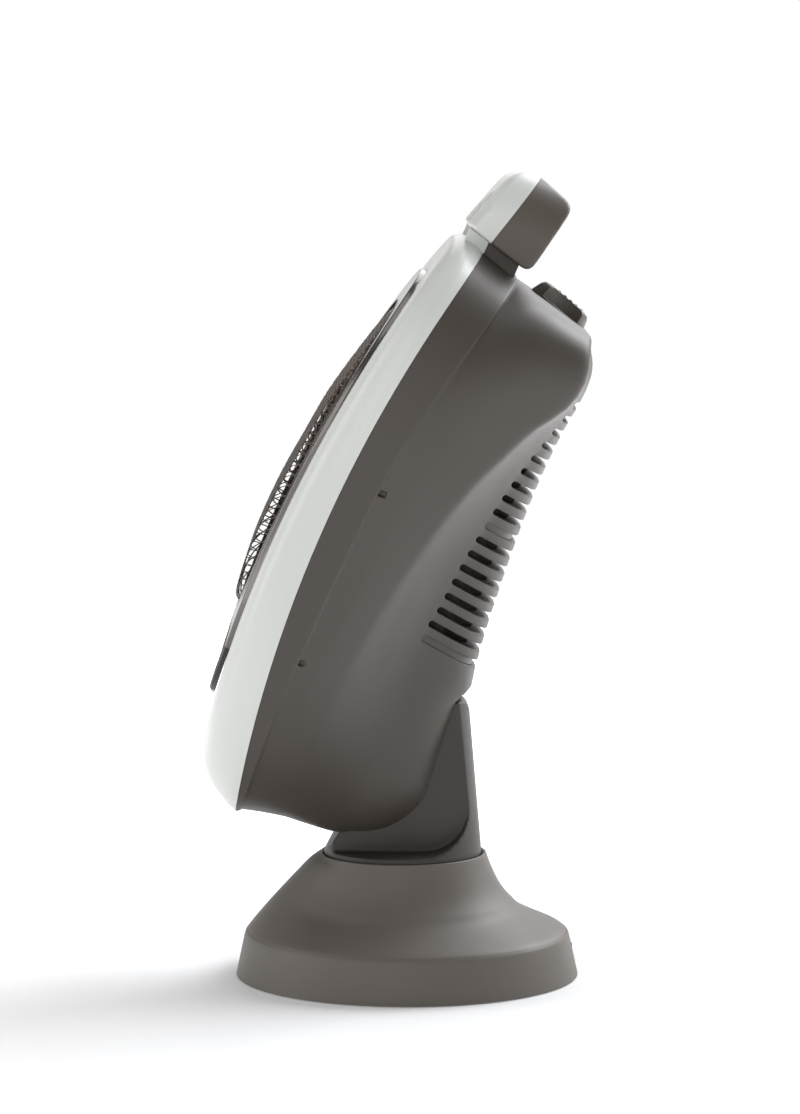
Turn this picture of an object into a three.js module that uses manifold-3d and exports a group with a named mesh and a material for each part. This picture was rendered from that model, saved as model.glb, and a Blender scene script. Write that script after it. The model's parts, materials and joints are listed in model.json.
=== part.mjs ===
// A portable halogen heater: a tall oval head that leans back in a swivelling neck, on a round weighted base.
// Millimetres, +Z up. The origin is the middle of the base's underside, and the heater faces -Y.
// The head is drawn upright in its own frame, whose origin is the tilt shaft, and is then leaned back.

import * as THREE from "three";
import { mergeVertices } from "three/addons/utils/BufferGeometryUtils.js";
import Module from "manifold-3d";

const wasm = await Module();
wasm.setup();

// ---------------------------------------------------------------- driving dimensions

const gap = 0.3; // between pieces that touch
const base = {
  footRadius: 117, // at the floor
  floorGap: 0.5,
  rimTopRadius: 111,
  rimHeight: 29.5,
  collarHeight: 84,
  collarLip: 3.2, // width of the collar's top edge
  wall: 3,
  frontSpread: 65, // degrees each side of the front over which the straight front slope fades
  segments: 32,
};
const plate = {
  lift: 2, // above the floor
  thickness: 3,
  clearance: 0.6,
  panelRadius: 62, // of the round panel pressed down in its middle
  panelDrop: 1,
  screwCircle: 88,
  screwRadius: 1.8,
  headRadius: 3.6,
  headDepth: 1.4,
};
const cordBush = { radius: 5, bore: 3.4, height: 16 };
const pad = { radius: 9, seat: 1.5, circle: 96 }; // each pad is let into the plate by its seat
const weight = { outerRadius: 76, innerRadius: 50, thickness: 9 };
const neck = {
  axisY: -3, // the swivel axis
  radiusAtCollar: 54,
  taper: 0.084, // loss of radius for each millimetre of height
  webHalf: 24,
  ledgeHeight: 88,
  ledgeCorner: 30,
  postFront: 42, // where the side pockets end at the back
  postTop: 190.5,
  bottom: 62.3,
  bore: 46,
  knuckleRadius: 26,
};
const shelf = { bottom: 57, top: 60, innerRadius: 47 };
const tilt = {
  y: -14,
  z: 130.5,
  lean: 24, // degrees the head leans back at rest
  shaftRadius: 5,
  shaftHalf: 33,
  washerRadius: 14,
  washerThickness: 1.8,
};
const head = {
  halfWidth: 150,
  low: -53,
  high: 361,
  power: 3, // of the superellipse that the front view follows
  seamArc: { radius: 856, depth: 742, height: 158 },
  frontArc: { radius: 880, depth: 737, height: 134 },
  wall: 2.8,
  points: 32, // round each ring outside
  innerPoints: 20, // and inside
};
const opening = { halfWidth: 118, low: 12, high: 332, power: 2.7, ledge: 7, ledgeDepth: 3 };
const guard = {
  meshHalfWidth: 100,
  meshLow: 71,
  meshHigh: 306,
  sheet: 1.2,
  proud: 1,
  crown: 1.3, // how far the frame bows forward in the middle
  power: 2.5, // of the oval of mesh
  domeReach: 0.93, // where the mesh's dome ends in that oval
  cellWidth: 26,
  cellHeight: 17,
  strand: 2,
  overlap: 4, // of the mesh behind the frame
};
const vent = {
  first: 119.8, // height of the lowest open slot
  pitch: 10.75,
  count: 17,
  slot: 4.8,
  droop: 9, // degrees that the slots fall towards the back
  blind: 7, // the slot that doesn't go through
  finDepth: 7,
  grooveDepth: 3,
};
const pocket = { clearance: 0.6, wall: 2.6, roof: 80, frontReach: 47 };
const shellScrew = { heights: [70.5, 193, 319], inset: 7.5, headRadius: 3.4, shank: 1.6, boss: 5.2 };
const handle = {
  halfWidth: 75,
  top: 422,
  foot: 366,
  gripHalf: 49, // half the width of the finger hole
  gripTop: 399,
  corner: 36,
  pedestalInset: 11, // from the legs' outside
  pedestalWidth: 14,
  screwHeight: 385,
};
const knob = {
  depth: -27,
  height: 341.4,
  slope: 16.3, // of the top face, in degrees
  radius: 22.4,
  topRadius: 19.8,
  tall: 12.6,
  gripHalf: 6.5,
  scoopRadius: 16,
  scoopFloor: 3.5,
  ridges: 5,
  ridgePitch: 4.8,
  shaftRadius: 3,
};
const reflector = {
  focal: 12,
  lampOffset: 47,
  apex: -72, // depth of each trough's deepest line
  sheet: 1,
  low: 38,
  high: 306,
  lipHalf: 112,
};
const channel = { halfWidth: 41, back: -10, low: 114, high: 285 };
const lamp = { radius: 5, low: 50, high: 294, capRadius: 7, capLength: 20 };
const motor = { offset: 26, radius: 24, bottom: 25, top: 44, crankThrow: 15, pinRadius: 2.5 };
const retainer = { radius: 51, bottom: 53.3, top: 56.7, slotHalf: 3.8, slotFrom: 26, slotTo: 45 };

// ---------------------------------------------------------------- materials

const material = (color, roughness, metalness = 0) =>
  new THREE.MeshStandardMaterial({ color, roughness, metalness });
const taupe = material(0x6a635c, 0.55);
const white = material(0xdfe1dd, 0.35);
const steel = material(0x8d8a86, 0.35, 1);
const chrome = material(0xb8b6b3, 0.15, 1);
const aluminium = material(0xd8d8d6, 0.12, 1);
const quartz = material(0xe6e2da, 0.1);
const ceramic = material(0xefece4, 0.7);
const rubber = material(0x1f1f1f, 0.9);
const castIron = material(0x3a3a3a, 0.8, 0.6);
const blackPlastic = material(0x262626, 0.6);
const nylon = material(0xe9e6dc, 0.5);
const brass = material(0xb08d4a, 0.35, 1);

// ---------------------------------------------------------------- solids

// A closed geometry as a solid whose faces point out.
function solidOf(geometry) {
  const bare = geometry.index ? geometry.toNonIndexed() : geometry.clone();
  bare.deleteAttribute("normal");
  bare.deleteAttribute("uv");
  const merged = mergeVertices(bare, 1e-4);
  const vertProperties = merged.attributes.position.array;
  const triVerts = new Uint32Array(merged.index.array);
  const made = new wasm.Manifold(new wasm.Mesh({ numProp: 3, vertProperties, triVerts }));
  if (made.volume() > 0) return made;
  const turned = triVerts.map((_, i, all) => all[i - (i % 3) + (2 - (i % 3))]);
  return new wasm.Manifold(new wasm.Mesh({ numProp: 3, vertProperties, triVerts: turned }));
}

function geometryOf(solid) {
  const mesh = solid.getMesh();
  return new THREE.BufferGeometry()
    .setAttribute("position", new THREE.BufferAttribute(mesh.vertProperties, 3))
    .setIndex(new THREE.BufferAttribute(mesh.triVerts, 1));
}

const unionOf = (solids) => solids.reduce((all, next) => all.add(next));

function block(x, y, z) {
  const geometry = new THREE.BoxGeometry(x[1] - x[0], y[1] - y[0], z[1] - z[0]);
  return solidOf(geometry.translate((x[0] + x[1]) / 2, (y[0] + y[1]) / 2, (z[0] + z[1]) / 2));
}

// A round bar along one axis, from one value of that axis to another.
function bar(axis, radius, from, to, [a, b] = [0, 0], segments = 20, endRadius = radius) {
  const geometry = new THREE.CylinderGeometry(endRadius, radius, to - from, segments);
  const middle = (from + to) / 2;
  if (axis === "x") geometry.rotateZ(-Math.PI / 2).translate(middle, a, b);
  if (axis === "y") geometry.translate(a, middle, b);
  if (axis === "z") geometry.rotateX(Math.PI / 2).translate(a, b, middle);
  return solidOf(geometry);
}

// A solid turned about the Z axis from [radius, height] points that close on themselves.
function turned(profile, segments = 40) {
  const points = [...profile, profile[0]].map(([r, z]) => new THREE.Vector2(r, z));
  return solidOf(new THREE.LatheGeometry(points, segments).rotateX(Math.PI / 2));
}

// A side view, drawn as [y, z] points or a THREE.Shape, given a width along X.
function sideways(outline, from, to, curveSegments = 8) {
  const points = Array.isArray(outline) && outline.map(([y, z]) => new THREE.Vector2(y, z));
  const shape = points ? new THREE.Shape(points) : outline;
  const options = { depth: to - from, bevelEnabled: false, curveSegments };
  const axes = new THREE.Matrix4().makeBasis(
    new THREE.Vector3(0, 1, 0),
    new THREE.Vector3(0, 0, 1),
    new THREE.Vector3(1, 0, 0),
  );
  return solidOf(new THREE.ExtrudeGeometry(shape, options).applyMatrix4(axes).translate(from, 0, 0));
}

// A front view, drawn as a THREE.Shape in x and z, given a thickness along Y.
function frontways(shape, from, to, curveSegments = 8) {
  const options = { depth: to - from, bevelEnabled: false, curveSegments };
  return solidOf(new THREE.ExtrudeGeometry(shape, options).rotateX(Math.PI / 2).translate(0, to, 0));
}

function moved(solid, matrix) {
  return solid.transform(matrix.toArray());
}

// Triangles between two rings of the same number of points.
function wallBetween(a, b, triangles) {
  a.forEach((point, i) => {
    const j = (i + 1) % a.length;
    triangles.push(point, a[j], b[j], point, b[j], b[i]);
  });
}

// Triangles across a ring that starts on the middle line and is the same on the left and right.
function capOf(ring, triangles, turn) {
  const last = ring.length;
  const put = (a, b, c) => (turn ? triangles.push(a, c, b) : triangles.push(a, b, c));
  for (let i = 0; i < last / 2; i++) {
    const [left, right] = [ring[(last - i) % last], ring[last - i - 1]];
    if (i > 0) put(ring[i], right, left);
    if (i < last / 2 - 1) put(ring[i], ring[i + 1], right);
  }
}

function solidFromTriangles(triangles) {
  return solidOf(new THREE.BufferGeometry().setFromPoints(triangles));
}

// A solid through rings, capped at both ends.
function loft(rings) {
  const triangles = [];
  for (let i = 1; i < rings.length; i++) wallBetween(rings[i - 1], rings[i], triangles);
  capOf(rings[0], triangles, true);
  capOf(rings.at(-1), triangles, false);
  return solidFromTriangles(triangles);
}

// A hoop: rings joined each to the next, and the last to the first.
function hoop(rings) {
  const triangles = [];
  rings.forEach((ring, i) => wallBetween(ring, rings[(i + 1) % rings.length], triangles));
  return solidFromTriangles(triangles);
}

// ---------------------------------------------------------------- curves of the head

const radians = THREE.MathUtils.degToRad;
const arcDepth = ({ radius, depth, height }, z) => depth - Math.sqrt(radius ** 2 - (z - height) ** 2);
const seamDepth = (z) => arcDepth(head.seamArc, z);
const frontDepth = (z) => arcDepth(head.frontArc, z);

// A smooth depth line through [height, depth] points.
function depthLine(points) {
  const curve = new THREE.SplineCurve(points.map(([z, y]) => new THREE.Vector2(z, y)));
  const table = curve.getPoints(60);
  return (z) => {
    if (z <= table[0].x) return table[0].y;
    const next = table.findIndex((p) => p.x >= z);
    if (next < 1) return table.at(-1).y;
    const [a, b] = [table[next - 1], table[next]];
    return a.y + ((b.y - a.y) * (z - a.x)) / (b.x - a.x);
  };
}

const flangeLine = depthLine([[-53, -86], [0, -91], [60, -94], [137, -93.8], [193, -91.6], [234, -87.4], [281, -78.6],
  [319, -70.4], [361, -60.5]]);
const creaseLine = depthLine([[-42, -56], [0, -60.5], [35, -61.6], [79, -59.7], [129, -54.4], [175, -46.5], [216, -36],
  [243, -25.2], [268, -14.2], [290, -2], [312, 0], [337, -9]]);
const slotLine = depthLine([[-38, -22], [30, -20], [107, -22.4], [133, -20.2], [155, -19], [176, -17], [198, -14.3],
  [219, -11.1], [240, -6.9], [260, -1.6], [279, 3.4], [289, 5.2], [332, 1]]);
const rearLine = depthLine([[-36, 0], [-28, 18], [-15, 28], [4, 33], [30, 28], [73, 22], [84, 25], [100, 22], [136, 17],
  [179, 12.6], [221, 9.8], [263, 9.8], [300, 12.6], [318, 11], [330, 4]]);

// A ring of the head: a superellipse in the front view whose depth follows the height.
function ring({ halfWidth, low, high, power = head.power, topPower = power, depth, grow = 0, points = head.points }) {
  const middle = (low + high) / 2;
  const half = (high - low) / 2 + grow;
  return Array.from({ length: points }, (_, i) => {
    const angle = (i / points - 0.25) * 2 * Math.PI;
    const [c, s] = [Math.cos(angle), Math.sin(angle)];
    const bend = s > 0 ? topPower : power;
    const reach = (Math.abs(c) ** bend + Math.abs(s) ** bend) ** (-1 / bend);
    const x = (halfWidth + grow) * c * reach;
    const z = middle + half * s * reach;
    return new THREE.Vector3(x, depth(z, x), z);
  });
}

const seamRing = { halfWidth: head.halfWidth, low: head.low, high: head.high };

// The rear shell's outside, from the seam to the spine at the back. With an inset it is the inside of the wall.
function rearForm(inset, spineInset, seamExtra, points = head.points) {
  const rings = [
    { ...seamRing, depth: (z) => seamDepth(z) - seamExtra },
    { halfWidth: 147.5, low: -51, high: 353.2, depth: (z) => flangeLine(z) },
    { halfWidth: 144, low: -48.5, high: 350.4, depth: (z) => flangeLine(z) + 1.4 },
    { halfWidth: 134, low: -46, high: 343.6, power: 2.9, topPower: 4, depth: (z) => (flangeLine(z) + creaseLine(z)) / 2 },
    { halfWidth: 117, low: -43.5, high: 336.6, power: 2.8, topPower: 5, depth: (z) => creaseLine(z) - spineInset * 0.3 },
    { halfWidth: 84, low: -42.5, high: 335, power: 2.8, topPower: 5.5,
      depth: (z) => (creaseLine(z) + slotLine(z)) / 2 - spineInset * 0.5 },
    { halfWidth: 60, low: -41.5, high: 333.2, power: 2.8, topPower: 6, depth: (z) => slotLine(z) - spineInset * 0.7 },
    { halfWidth: 49, low: -39, high: 330.6, power: 2.8, topPower: 5, depth: (z) => (slotLine(z) + rearLine(z)) / 2 - spineInset },
    { halfWidth: 34, low: -32, high: 327, power: 2.6, topPower: 4, depth: (z) => slotLine(z) * 0.15 + rearLine(z) * 0.85 - spineInset },
    { halfWidth: 15, low: -20, high: 321, power: 2.4, topPower: 3, depth: (z) => rearLine(z) - spineInset },
  ];
  return loft(rings.map((r) => ring({ ...r, grow: -inset, points })));
}

// The front of the head: everything behind a surface that is parallel to the front arc.
function behindFront(offset) {
  const steps = 14;
  const [low, high] = [head.low - 10, head.high + 10];
  const arc = Array.from({ length: steps + 1 }, (_, i) => {
    const z = low + ((high - low) * i) / steps;
    return [frontDepth(z) + offset, z];
  });
  return sideways([...arc, [60, high], [60, low]], -200, 200);
}

// How far out a point lies in an oval, which is 1 at its edge.
const ovalReach = (x, z, power) => (Math.abs(x) ** power + Math.abs(z) ** power) ** (1 / power);

// How far the guard bows forward of the front arc.
const frameCrown = (z, x) => {
  const across = 1 - (x / opening.halfWidth) ** 2;
  return guard.crown * across * THREE.MathUtils.mapLinear(z, opening.low, opening.high, 1.2, 0.2);
};
const domeLine = depthLine([[guard.meshLow, 10.5], [90, 10], [113, 9.3], [135, 9.2], [161, 8.7], [193, 7.2], [224, 6],
  [256, 4.1], [283, 2.6], [guard.meshHigh, 2]]);
const meshCrown = (z, x) => {
  const half = (guard.meshHigh - guard.meshLow) / 2;
  const out = ovalReach(x / guard.meshHalfWidth, (z - guard.meshLow - half) / half, guard.power) / guard.domeReach;
  const across = Math.max(0, 1 - out ** 6) ** 0.7 * (1 - 0.35 * (x / guard.meshHalfWidth) ** 2);
  return frameCrown(z, x) + domeLine(z) * across;
};

// ---------------------------------------------------------------- base

const aroundBase = (radius, degrees) => [radius * Math.cos(radians(degrees)), radius * Math.sin(radians(degrees))];

// The cover's radius and height along its slope, at an angle from the front. The front slope is straight.
function coverProfile(fromFront) {
  const back = [[base.footRadius, base.floorGap], [base.rimTopRadius, base.rimHeight - 1], [107.5, 32.5], [94.5, 37.8],
    [79, 45.6], [66.5, 58.8], [60.2, 74], [58.2, 80.5], [57.2, base.collarHeight]];
  const front = [[base.footRadius, base.floorGap], [base.rimTopRadius, base.rimHeight], [107.5, 34], [98.5, 44.5], [87, 56.8],
    [73, 71], [64, 80], [58.8, 83.2], [57.2, base.collarHeight]];
  const share = 1 - THREE.MathUtils.smoothstep(fromFront, 0, base.frontSpread);
  return back.map(([r, z], i) => [
    THREE.MathUtils.lerp(r, front[i][0], share),
    THREE.MathUtils.lerp(z, front[i][1], share),
  ]);
}

// One level of the cover, all round. Levels above the rim are centred ever nearer the swivel axis.
function coverRing(level, inset, drop) {
  return Array.from({ length: base.segments }, (_, i) => {
    const angle = (i / base.segments) * 2 * Math.PI;
    const fromFront = THREE.MathUtils.radToDeg(Math.abs(Math.atan2(Math.sin(angle), -Math.cos(angle))));
    const [r, z] = coverProfile(fromFront)[level];
    const share = THREE.MathUtils.clamp((z - base.rimHeight) / (base.collarHeight - base.rimHeight), 0, 1);
    const radius = r - inset;
    const height = inset ? Math.min(z - drop, shelf.bottom - 0.2) : z;
    return new THREE.Vector3(radius * Math.sin(angle), radius * Math.cos(angle) + neck.axisY * share, height);
  });
}

function circleRing(radius, z, y) {
  return Array.from({ length: base.segments }, (_, i) => {
    const angle = (i / base.segments) * 2 * Math.PI;
    return new THREE.Vector3(radius * Math.sin(angle), radius * Math.cos(angle) + y, z);
  });
}

function baseCover() {
  const collarInner = neck.radiusAtCollar + 0.8;
  const outside = [0, 1, 2, 3, 4, 5, 6, 7, 8].map((level) => coverRing(level, 0, 0));
  const throat = [circleRing(collarInner, base.collarHeight - 0.4, neck.axisY), circleRing(collarInner, shelf.top, neck.axisY)];
  const ledge = [circleRing(shelf.innerRadius, shelf.top, neck.axisY), circleRing(shelf.innerRadius, shelf.bottom, neck.axisY)];
  const inside = [5, 4, 3, 2, 1, 0].map((level) => coverRing(level, base.wall, level ? base.wall * 0.6 : 0));
  const shell = hoop([...outside, ...throat, ...ledge, ...inside]);
  const bush = bar("y", cordBush.radius + gap, 90, 125, [0, cordBush.height]);
  const bosses = [];
  const holes = [];
  for (let i = 0; i < 4; i++) {
    const at = aroundBase(plate.screwCircle, 45 + 90 * i);
    bosses.push(bar("z", 5, plateTop + gap, 42, at, 12));
    holes.push(bar("z", plate.screwRadius + gap, 0, plateTop + 14, at, 10));
  }
  const filled = loft([...outside]);
  const joined = shell.add(unionOf(bosses).intersect(filled));
  return joined.subtract(unionOf(holes)).subtract(bush);
}

const plateTop = plate.lift + plate.thickness;

function basePlate() {
  const radius = base.footRadius - base.wall - plate.clearance - 0.5;
  const disc = bar("z", radius, plate.lift, plateTop, [0, 0], base.segments);
  const panel = bar("z", plate.panelRadius, plate.lift - plate.panelDrop, plate.lift + 1, [0, 0], base.segments);
  const pieces = [disc, panel];
  const cuts = [];
  for (let i = 0; i < 4; i++) {
    cuts.push(bar("z", plate.screwRadius + gap, -1, plateTop + 5, aroundBase(plate.screwCircle, 45 + 90 * i), 12));
    const seat = plate.lift + plate.headDepth + gap;
    cuts.push(bar("z", plate.headRadius + gap, -1, seat, aroundBase(plate.screwCircle, 45 + 90 * i), 12));
    cuts.push(bar("z", pad.radius + gap, -1, plate.lift + pad.seat + gap, aroundBase(pad.circle, 90 * i), 16));
  }
  for (const side of [-1, 1]) {
    pieces.push(bar("z", 4, plateTop - 1, motor.bottom - gap, [side * 29, neck.axisY + motor.offset], 12));
  }
  return unionOf(pieces).subtract(unionOf(cuts));
}

function counterweight() {
  const [low, high] = [plateTop + gap, plateTop + gap + weight.thickness];
  return turned([[weight.innerRadius, low], [weight.outerRadius, low], [weight.outerRadius, high], [weight.innerRadius, high]], 32);
}

function cordBushing() {
  const outer = base.footRadius - ((base.footRadius - base.rimTopRadius) * cordBush.height) / base.rimHeight;
  const sleeve = bar("y", cordBush.radius, 104, outer - 0.6, [0, cordBush.height], 20);
  const flange = bar("y", cordBush.radius + 2, 104, 108, [0, cordBush.height], 20);
  return sleeve.add(flange).subtract(bar("y", cordBush.bore, 90, 125, [0, cordBush.height], 16));
}

function plateScrew(i) {
  const at = aroundBase(plate.screwCircle, 45 + 90 * i);
  const head = bar("z", plate.headRadius, plate.lift + gap, plate.lift + plate.headDepth, at, 12);
  return head.add(bar("z", plate.screwRadius, plate.lift + 1, plateTop + 12, at, 10));
}

function rubberPad(i) {
  return bar("z", pad.radius, 0, plate.lift + pad.seat, aroundBase(pad.circle, 90 * i), 16);
}

// ---------------------------------------------------------------- oscillation drive

const motorY = neck.axisY + motor.offset;

function oscillationMotor() {
  const can = bar("z", motor.radius, motor.bottom, motor.top, [0, motorY], 28);
  const ears = block([-34, 34], [motorY - 6, motorY + 6], [motor.bottom, motor.bottom + 2]);
  return can.add(ears).add(bar("z", 3, motor.top - 1, motor.top + 6.5, [0, motorY], 12));
}

function crankDisc() {
  const disc = bar("z", motor.crankThrow + 4, motor.top + 1, motor.top + 5, [0, motorY], 24);
  const pin = bar("z", motor.pinRadius, motor.top + 4, retainer.top - 0.5, [0, motorY + motor.crankThrow], 12);
  return disc.subtract(bar("z", 3 + gap, motor.top, motor.top + 8, [0, motorY], 12)).add(pin);
}

function neckRetainer() {
  const disc = bar("z", retainer.radius, retainer.bottom, retainer.top, [0, neck.axisY], 28);
  const spigot = bar("z", shelf.innerRadius - 1, retainer.top - 1, neck.bottom - gap, [0, neck.axisY], 28);
  const slotWide = [-retainer.slotHalf, retainer.slotHalf];
  const slot = block(slotWide, [neck.axisY + retainer.slotFrom, neck.axisY + retainer.slotTo], [retainer.bottom - 1, neck.bottom]);
  const cordHole = bar("z", 8, 50, 70, [0, neck.axisY - 20], 16);
  const screwHoles = [0, 1, 2].map((i) => bar("z", 1.8 + gap, 50, 70, retainerScrewAt(i), 10));
  return disc.add(spigot).subtract(slot).subtract(cordHole).subtract(unionOf(screwHoles));
}

function retainerScrewAt(i) {
  const angle = radians(-90 + 120 * i);
  return [38 * Math.cos(angle), neck.axisY + 38 * Math.sin(angle)];
}

function retainerScrew(i) {
  const head = bar("z", 3.4, retainer.bottom - 2 - gap, retainer.bottom - gap, retainerScrewAt(i), 12);
  return head.add(bar("z", 1.8, retainer.bottom - 1, neck.bottom + 10, retainerScrewAt(i), 10));
}

function swivelBearing() {
  const [inner, outer] = [shelf.innerRadius, neck.radiusAtCollar + 0.4];
  const [low, high] = [shelf.top + gap, neck.bottom - gap];
  const ringOf = [[inner, low], [outer, low], [outer, high], [inner, high]];
  return moved(turned(ringOf, 28), new THREE.Matrix4().makeTranslation(0, neck.axisY, 0));
}

// ---------------------------------------------------------------- neck

const neckRadius = (z) => neck.radiusAtCollar - neck.taper * Math.max(0, z - base.collarHeight);

// The neck from the side: a sloped toe, the knuckle round the tilt shaft, and the post at the back.
function neckOutline() {
  const shape = new THREE.Shape();
  shape.moveTo(-70, neck.bottom);
  shape.lineTo(-70, 84.5);
  shape.lineTo(-57.5, 84.5);
  shape.lineTo(-46.5, 101);
  shape.absarc(tilt.y, tilt.z, neck.knuckleRadius, radians(200), radians(35), true);
  shape.quadraticCurveTo(17, 146, 20, 168);
  shape.lineTo(24, 182);
  shape.quadraticCurveTo(27, neck.postTop, 34, neck.postTop);
  shape.lineTo(38, neck.postTop);
  shape.quadraticCurveTo(46, 188, 60, 160);
  shape.lineTo(60, neck.bottom);
  return shape;
}

function sidePocketOutline() {
  const shape = new THREE.Shape();
  const corner = neck.ledgeCorner;
  shape.moveTo(-90, neck.ledgeHeight);
  shape.lineTo(neck.postFront - corner, neck.ledgeHeight);
  shape.absarc(neck.postFront - corner, neck.ledgeHeight + corner, corner, radians(-90), 0, false);
  shape.lineTo(neck.postFront, 178);
  shape.lineTo(neck.postFront - 7, 200);
  shape.lineTo(-90, 200);
  return shape;
}

function neckBody() {
  const low = bar("z", neck.radiusAtCollar, neck.bottom, base.collarHeight, [0, neck.axisY], 32);
  const high = bar("z", neck.radiusAtCollar, base.collarHeight, 200, [0, neck.axisY], 32, neckRadius(200));
  const body = low.add(high).intersect(sideways(neckOutline(), -60, 60));
  const side = sidePocketOutline();
  const cuts = [
    sideways(side, neck.webHalf, 70),
    sideways(side, -70, -neck.webHalf),
    bar("z", neck.bore, neck.bottom - 1, 80, [0, neck.axisY], 24),
    bar("x", tilt.shaftRadius + gap, -40, 40, [tilt.y, tilt.z], 16),
    bar("z", 6, 78, 200, [0, 4], 16), // the way up for the wires
  ];
  const depth = tilt.washerThickness + 0.3;
  for (const side of [-1, 1]) {
    const [a, b] = [side * (neck.webHalf - depth + 0.6), side * (neck.webHalf + 5)].sort((p, q) => p - q);
    cuts.push(bar("x", tilt.washerRadius + gap, a, b, [tilt.y, tilt.z], 16));
  }
  const bosses = [0, 1, 2].map((i) => bar("z", 5, neck.bottom, 81, retainerScrewAt(i), 12));
  const holes = [0, 1, 2].map((i) => bar("z", 1.8 + gap, neck.bottom - 1, neck.bottom + 11, retainerScrewAt(i), 10));
  return body.subtract(unionOf(cuts)).add(unionOf(bosses)).subtract(unionOf(holes));
}

function frictionWasher(side) {
  const inner = neck.webHalf - tilt.washerThickness + 0.6;
  const [a, b] = [side * inner, side * (inner + tilt.washerThickness)].sort((p, q) => p - q);
  const disc = bar("x", tilt.washerRadius, a, b, [tilt.y, tilt.z], 16);
  return disc.subtract(bar("x", tilt.shaftRadius + gap, -40, 40, [tilt.y, tilt.z], 16));
}

// ---------------------------------------------------------------- head: shells

const shellScrewX = (z) => {
  const middle = (head.low + head.high) / 2;
  const half = (head.high - head.low) / 2;
  const share = 1 - Math.abs((z - middle) / half) ** head.power;
  return head.halfWidth * share ** (1 / head.power) - shellScrew.inset;
};

const shellScrewSpots = shellScrew.heights.flatMap((z) => [-1, 1].map((side) => ({ side, z, x: side * shellScrewX(z) })));

// The room for the neck between the head's cheeks, seen from the side.
function pocketOutline(grow) {
  const reach = pocket.frontReach + grow;
  const shape = new THREE.Shape();
  shape.moveTo(-reach, -80);
  shape.lineTo(-reach, -14 + grow);
  shape.lineTo(-neck.knuckleRadius - 3 - grow, 0);
  shape.absarc(0, 0, neck.knuckleRadius + 3 + grow, Math.PI, radians(75), true);
  shape.lineTo(6 - grow, 50);
  shape.lineTo(6 - grow, pocket.roof + grow);
  shape.lineTo(80, pocket.roof + grow);
  shape.lineTo(80, -80);
  return shape;
}

function ventTool(z, from) {
  const half = vent.slot / 2;
  const shape = new THREE.Shape();
  const fall = (60 - from) * Math.tan(radians(vent.droop));
  shape.moveTo(60, z - half - fall);
  shape.lineTo(60, z + half - fall);
  shape.lineTo(from + half, z + half);
  shape.absarc(from + half, z, half, Math.PI / 2, 1.5 * Math.PI, false);
  return sideways(shape, -90, 90, 2);
}

// The top face's own frame: its origin is the knob's centre, and its Z axis is the knob's axis.
function knobMatrix() {
  const turn = new THREE.Matrix4().makeRotationX(-radians(knob.slope));
  return turn.setPosition(0, knob.depth, knob.height);
}

// The underside of the handle's feet, as a height at a depth.
const handleFootHeight = (y) => THREE.MathUtils.mapLinear(y, -62, -108, 361.3, 372.5);

function handlePedestals(low, from, to) {
  const outer = handle.halfWidth - handle.pedestalInset;
  const inner = outer - handle.pedestalWidth;
  const side = [[from, low], [to, low], [to, handleFootHeight(to) - gap], [from, handleFootHeight(from) - gap]];
  return sideways(side, -outer, -inner).add(sideways(side, inner, outer));
}

function rearShell() {
  const outside = rearForm(0, 0, 0);
  const inside = rearForm(head.wall, vent.finDepth, 3, head.innerPoints);
  const half = neck.webHalf + pocket.clearance;
  const pocketWalls = sideways(pocketOutline(pocket.wall), -half - pocket.wall, half + pocket.wall);
  const room = sideways(pocketOutline(0), -half, half);
  const wiringShelf = block([-35, 35], [-16, 10], [pocket.roof, pocket.roof + pocket.wall]);
  const bearings = [-1, 1].map((side) => {
    const [a, b] = [side * (half + 1), side * 42].sort((p, q) => p - q);
    return bar("x", tilt.shaftRadius + 4, a, b, [0, 0], 16);
  });
  let shell = outside.subtract(inside).add(pocketWalls.add(unionOf([...bearings, wiringShelf])).intersect(outside)).subtract(room);
  shell = shell.subtract(bar("x", tilt.shaftRadius + gap, -tilt.shaftHalf - gap, tilt.shaftHalf + gap, [0, 0], 16));

  for (const { x, z } of shellScrewSpots) {
    const boss = bar("y", shellScrew.boss, -140, -40, [x, z], 6);
    shell = shell.add(boss.intersect(outside).intersect(behindSeam(0)).intersect(block([-200, 200], [-200, flangeLine(z) + 1], [-100, 400])));
    shell = shell.subtract(bar("y", shellScrew.headRadius + gap + 0.4, flangeLine(z) - 4, 0, [x, z], 8));
    shell = shell.subtract(bar("y", shellScrew.shank + gap, -140, -60, [x, z], 6));
  }
  const pedestals = handlePedestals(338, handleSeamDepth(364) + gap, -65).subtract(inside);
  shell = shell.add(pedestals);

  const thin = rearForm(vent.grooveDepth, vent.grooveDepth, 0);
  for (let i = -1; i < vent.count; i++) {
    const z = vent.first + i * vent.pitch;
    const tool = ventTool(z, slotLine(z));
    const blind = i === -1 || i === vent.blind;
    shell = shell.subtract(blind ? tool.subtract(thin) : tool);
  }
  return shell.subtract(moved(bar("z", knob.shaftRadius + 1, -12, 12, [0, 0], 16), knobMatrix()));
}

function behindSeam(offset) {
  const steps = 14;
  const [low, high] = [head.low - 10, head.high + 20];
  const arc = Array.from({ length: steps + 1 }, (_, i) => {
    const z = low + ((high - low) * i) / steps;
    return [seamDepth(z) + offset, z];
  });
  return sideways([...arc, [90, high], [90, low]], -200, 200);
}

const bezelCorner = depthLine([[-44, -112], [-37, -117.5], [20, -130], [155, -136], [300, -124], [352, -113.5], [362, -110]]);
const bezelSide = depthLine([[-52, -96], [0, -108], [155, -125], [300, -112], [366, -100]]);

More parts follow.
